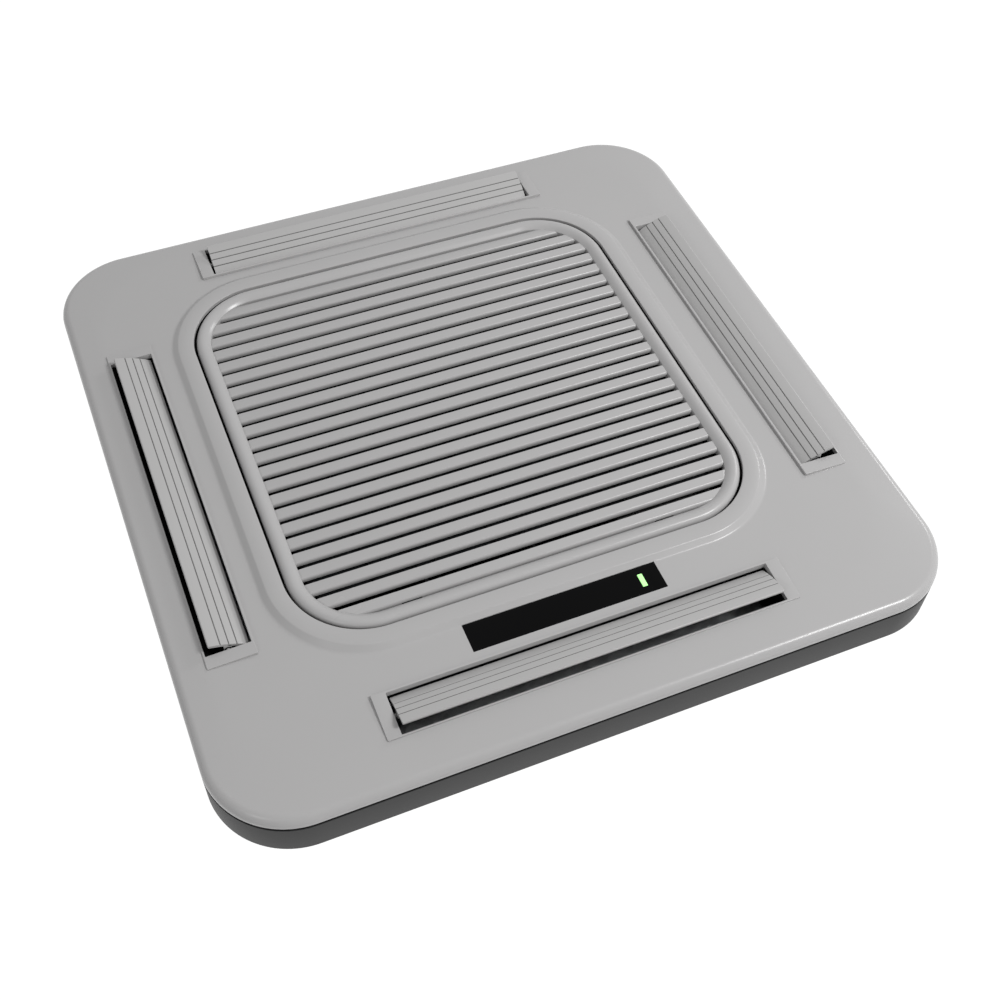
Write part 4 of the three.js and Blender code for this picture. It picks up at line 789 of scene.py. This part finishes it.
# Raised plate round the slot: up its outer side, over the top, and down the slot's walls to their lip.
def plateShape():
    o = outlet
    middleY = -(o["inner"] + o["width"] / 2)
    halfX, halfY = o["length"] / 2, o["width"] / 2
    top = fieldLevel + o["stand"]
    plate = lambda level: (0, middleY, halfX, halfY, o["corner"], level)
    foot, low, soft = fieldLevel + 0.0001, o["lipFoot"], o["edgeRound"]
    keys = [
        (plate(foot), 0, 0), (plate(top), soft, 5), (slotRing(0, top), soft, 4), (slotRing(0, low), 0, 0),
        (slotRing(o["wall"], low), 0, 0), (slotRing(o["wall"], foot), 0, 0)]
    points = ringGrid(softRings(keys), 6)
    # The plate falls towards its outer edge: every point above the field drops with its distance.
    fall = o["tilt"] * (-points[..., 1] - o["inner"]) / o["width"]
    level = points[..., 2] - np.where(points[..., 2] > fieldLevel + 0.0002, fall, 0)
    points[..., 2] = np.where(level > low + 0.001, np.maximum(level, foot), low)
    return cutShape(gridShape(points, wrapRows=True), [pinBores()])


# Passage under the plate: a thin wall straight down to the bend, then leaning towards the grille.
def ductShape():
    o = outlet
    clear = 0.0001
    top = o["lipFoot"] - clear
    rings = [slotRing(o["wall"], top), slotRing(clear, top), slotRing(0, o["bend"]),
             slotRing(0, o["foot"], o["lean"]), slotRing(o["wall"], o["foot"], o["lean"]),
             slotRing(o["wall"], o["bend"])]
    return cutShape(gridShape(ringGrid(rings[::-1], 6), wrapRows=True), [pinBores()])


# Point of the crown's circle: a = rest - across / crown; depth is measured below the surface.
def crownPoint(across, depth):
    rest = np.radians(flap["rest"])
    a = rest - across / flap["crown"]
    r = flap["crown"] - depth
    out = flap["crown"] * np.sin(rest) - flap["setBack"] - r * np.sin(a)
    up = flap["stand"] - flap["crown"] * np.cos(rest) + r * np.cos(a)
    return np.stack([out, up], axis=-1)


# Cross-section of the blade as (out, up) from its axis, with the grooves and the round long edges.
def bladeSection():
    f = flap
    reach, back = f["chord"] / 2, f["chord"] / 2 + f["inward"]
    across = np.linspace(reach, -back, 481)
    # Grooves: each sinks the surface by depth (1 - t^4), with t from -1 to 1 across its width.
    depth = sum(f["grooveDepth"] * (1 - np.minimum(np.abs(across - g) * 2 / f["grooveWidth"], 1) ** 4)
                for g in f["grooves"])
    # The long edges are round: over the edge's width the surface sinks by half the thickness.
    toEdge = np.minimum(reach - across, across + back)
    edge = np.clip(1 - toEdge / f["edge"], 0, 1)
    roundOff = f["thick"] / 2 * (1 - np.sqrt(1 - edge ** 2))
    upper = crownPoint(across, depth + roundOff)
    lower = crownPoint(across[::-4], f["thick"] - roundOff[::-4])
    return np.concatenate([upper, lower])


# A section of (out, up) set at a place along the flap's axis.
def alongFlap(section, x):
    return np.column_stack([np.full(len(section), x), -outlet["middle"] - section[:, 0],
                            flap["pivot"] + section[:, 1]])


# Blade with two pins. At each end the section shrinks a little towards its middle; a boss carries the
# pin, and a post joins the boss to the blade.
def flapShape():
    f = flap
    section = bladeSection()
    middle = section.mean(0)
    half = outlet["slotHalf"][0] - f["endGap"]
    rows = [(half, 0.96), (half - 0.0002, 0.985), (half - 0.0008, 1.0)]
    rows += [(-x, scale) for x, scale in rows[::-1]]
    points = np.array([alongFlap(middle + (section - middle) * scale, x) for x, scale in rows])
    shapes = [gridShape(points[::-1], caps=True)]
    axisY, axisZ = -outlet["middle"], f["pivot"]
    inner, outer = half - f["bossWidth"], outlet["slotHalf"][0] + f["pinReach"]
    length, tip = outer - inner, f["pinTip"]
    pin = [(f["pin"], 0), (f["pin"], length - tip), (f["pin"] - tip, length)]
    for sign in (-1, 1):
        pinStart, low, high = (inner, inner, half) if sign > 0 else (-outer, -half, -inner)
        shapes.append(lathe(pin, (pinStart, axisY, axisZ), "x", 24))
        shapes.append(rod(f["boss"], f["bossWidth"], (low, axisY, axisZ), "x", 32))
        shapes.append(softBlock((low, axisY - f["postHalf"], axisZ - f["postFoot"]),
                                (high, axisY + f["postHalf"], axisZ + f["postTop"]), 0.0004, 2))
    return joinShapes(shapes)


# Painted shade in each groove: a dark strip that follows the blade's crown a little below its surface and
# stands for the groove's shadow.
def grooveShadeShape():
    f = flap
    half = outlet["slotHalf"][0] - f["endGap"] - 0.0002
    shapes = []
    for g in f["grooves"]:
        across = np.linspace(g + f["grooveWidth"] * 0.46, g - f["grooveWidth"] * 0.46, 5)
        section = np.concatenate([crownPoint(across, f["grooveFloor"]),
                                  crownPoint(across[::-1], f["grooveDepth"] + 0.0002)])
        rows = [alongFlap(section, x) for x in (-half, half)]
        shapes.append(gridShape(np.array(rows), caps=True))
    return joinShapes(shapes)


plateForm, ductForm, bladeForm, grooveShadeForm = plateShape(), ductShape(), flapShape(), grooveShadeShape()
for side in sides:
    frameName, flapName = f"outlet_frame_{side}", f"flap_{side}"
    makePiece(f"outlet_plate_{side}", atSide(plateForm, side), panelPlastic, "cassette",
              (frameName,), 35)
    # The duct is black: painted shade that keeps the gap beside each flap dark.
    makePiece(f"outlet_duct_{side}", atSide(ductForm, side), blackPlastic, "cassette",
              (frameName,), 35)
    makePiece(f"flap_skin_{side}", atSide(bladeForm, side), flapPlastic, flapName,
              (flapName,), 50)
    makePiece(f"flap_groove_shade_{side}", atSide(grooveShadeForm, side), groovePaintedShade, flapName,
              (flapName,), 50)
print("outlets and flaps are made")


# Display.

display = {"foot": 0.2422, "top": 0.2452, "legInset": 0.006, "legHalf": 0.003, "legSetBack": 0.0075,
           "legTop": 0.2432, "lampFit": 0.0003, "holeLevels": (0.239, 0.247), "lampRound": 0.0008}


# Pane with a leg near each end and a hole for the lamp's bar.
def makeDisplay():
    d = display
    low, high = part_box("display_window")
    lampLow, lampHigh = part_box("status_light")
    pane = softBlock((low.x, low.y, d["foot"]), (high.x, high.y, d["top"]), 0.0004)
    legs = []
    for sign in (-1, 1):
        x = (low.x + high.x) / 2 + sign * ((high.x - low.x) / 2 - d["legInset"])
        legs.append(softBlock((x - d["legHalf"], low.y + d["legSetBack"], low.z),
                              (x + d["legHalf"], high.y - d["legSetBack"], d["legTop"]), 0.0003))
    fit = d["lampFit"]
    holeFoot, holeTop = d["holeLevels"]
    hole = plainBlock((lampLow.x - fit, lampLow.y - fit, holeFoot),
                      (lampHigh.x + fit, lampHigh.y + fit, holeTop))
    makePiece("display_pane", joinShapes([cutShape(pane, [hole]), *legs]), displayGloss,
              replaces=("display_window",))
    bar = softBlock(lampLow, lampHigh, d["lampRound"])
    makePiece("status_bar", bar, lampGreen, replaces=("status_light",))


makeDisplay()
print("display is made")


# Nodes that keep their shape: a copy with softened edges stands for each.

# Fins of the coil: upright ridges a little apart, worked out from place as a wave along x + y. The same
# wave darkens the colour between the ridges, painted shade, and the fins' colour is kept dark, painted
# shade that keeps the outlet gaps black.
def finMaterial():
    fin = {"color": (0.13, 0.15, 0.165, 1), "pitch": 0.0016, "bump": 0.6, "depth": 0.0006, "shadeSwing": 0.3,
           "middle": 0.65}
    material, shader = newMaterial("coilFins", Metallic=0.9)
    node, relief = useGroup(material, shader, zinc, fin["bump"], fin["depth"], {
        "Color": fin["color"], "Crystal Scale": 300, "Contrast": 0.12})
    tree = material.node_tree
    place = addNode(tree, "ShaderNodeTexCoord")
    split = addNode(tree, "ShaderNodeSeparateXYZ")
    tree.links.new(place.outputs["Object"], split.inputs[0])
    along = mathNode(tree, "ADD", split.outputs[0], split.outputs[1])
    phase = mathNode(tree, "MULTIPLY", along, 2 * np.pi / fin["pitch"])
    wave = mathNode(tree, "SINE", phase, 0.0)
    tree.links.new(wave, relief.inputs["Height"])
    shade = addNode(tree, "ShaderNodeVectorMath", operation="SCALE")
    dark = mathNode(tree, "MULTIPLY_ADD", wave, fin["shadeSwing"])
    dark.node.inputs[2].default_value = fin["middle"]
    tree.links.new(node.outputs["Color"], shade.inputs[0])
    tree.links.new(dark, shade.inputs["Scale"])
    tree.links.new(shade.outputs[0], shader.inputs["Base Color"])
    return material


# The copy loses its doubled points and the needless edges on flat faces, then its sharp edges are
# rounded by the bevel's width.
def dressNode(name, material, slot, bevel):
    sharpAngle = 35
    mesh = bpy.data.meshes.new(name + "_skin")
    work = bmesh.new()
    work.from_mesh(nodes[name].data)
    bmesh.ops.remove_doubles(work, verts=work.verts, dist=1e-6)
    bmesh.ops.dissolve_limit(work, angle_limit=np.radians(0.5), verts=work.verts, edges=work.edges)
    work.to_mesh(mesh)
    work.free()
    piece = bpy.data.objects.new(name + "_skin", mesh)
    bpy.context.scene.collection.objects.link(piece)
    finishPiece(piece, material, bodyOf[name], (name,), sharpAngle)
    if bevel:
        soften = piece.modifiers.new("soften", "BEVEL")
        soften.width = bevel
        soften.segments = 2
        soften.limit_method = "ANGLE"
        soften.angle_limit = np.radians(sharpAngle)
        soften.use_clamp_overlap = True
        soften.harden_normals = True


coilFins = finMaterial()
# Each node's material, record slot and edge width.
dressed = {
    "casing": (zincSheet, "zinc_sheet", 0.0006),
    "foam_liner": (foamWhite, "white_foam", 0.0012),
    # The drain pan is dark: painted shade that keeps the outlet gaps black.
    "drain_pan": (foamDark, "dark_plastic", 0.0012),
    "bell_mouth": (greyPlastic, "grey_plastic", 0.0005),
    "fan_rotor": (greyPlastic, "grey_plastic", 0.0003),
    "fan_motor": (zincSheet, "zinc_sheet", 0.0010),
    "motor_shaft": (brightSteel, "bright_steel", 0.0003),
    "hub_nut": (brightSteel, "bright_steel", 0.0004),
    "coil": (coilFins, "coil_aluminium", 0),
    "coil_end_plate_back": (zincSheet, "zinc_sheet", 0.0003),
    "coil_end_plate_right": (zincSheet, "zinc_sheet", 0.0003),
    "gas_header": (copperTube, "copper", 0.0008),
    "liquid_header": (copperTube, "copper", 0.0008),
    "gas_pipe": (copperTube, "copper", 0.0003),
    "liquid_pipe": (copperTube, "copper", 0.0003),
    "gas_cap_nut": (machinedBrass, "brass", 0.0005),
    "liquid_cap_nut": (machinedBrass, "brass", 0.0005),
    "drain_pump": (blackRubber, "black_rubber", 0.0010),
    "drain_hose": (blackRubber, "black_rubber", 0.0004),
    "drain_port": (greyPlastic, "grey_plastic", 0.0005),
    "float_switch": (greyPlastic, "grey_plastic", 0.0005),
    "float": (foamWhite, "white_foam", 0.0010),
    "cable_gland": (blackRubber, "black_rubber", 0.0005),
    "control_box": (zincSheet, "zinc_sheet", 0.0004),
    "control_cover": (zincSheet, "zinc_sheet", 0.0004),
    "main_board": (boardGreen, "board_green", 0.0002),
    "display_board": (boardGreen, "board_green", 0.0002),
    "filter_frame": (blackPlastic, "filter_plastic", 0.0005),
    "filter_net": (netFabric, "filter_mesh", 0.0001),
    "grille_latch_left": (blackPlastic, "dark_plastic", 0.0004),
    "grille_latch_right": (blackPlastic, "dark_plastic", 0.0004),
}
# Nodes whose names start alike share a finish.
families = {
    "hanging_lug": (zincSheet, "zinc_sheet", 0.0004),
    "panel_screw": (brightSteel, "bright_steel", 0.0003),
    "flap_motor": (brightSteel, "bright_steel", 0.0004),
    "hinge_pin": (brightSteel, "bright_steel", 0.0003),
    "hinge_bracket": (zincSheet, "zinc_sheet", 0.0004),
}
for name in nodes:
    family = next((start for start in families if name.startswith(start)), None)
    finish = dressed.get(name) or families.get(family)
    if finish:
        dressNode(name, *finish)
print("the other nodes are dressed")
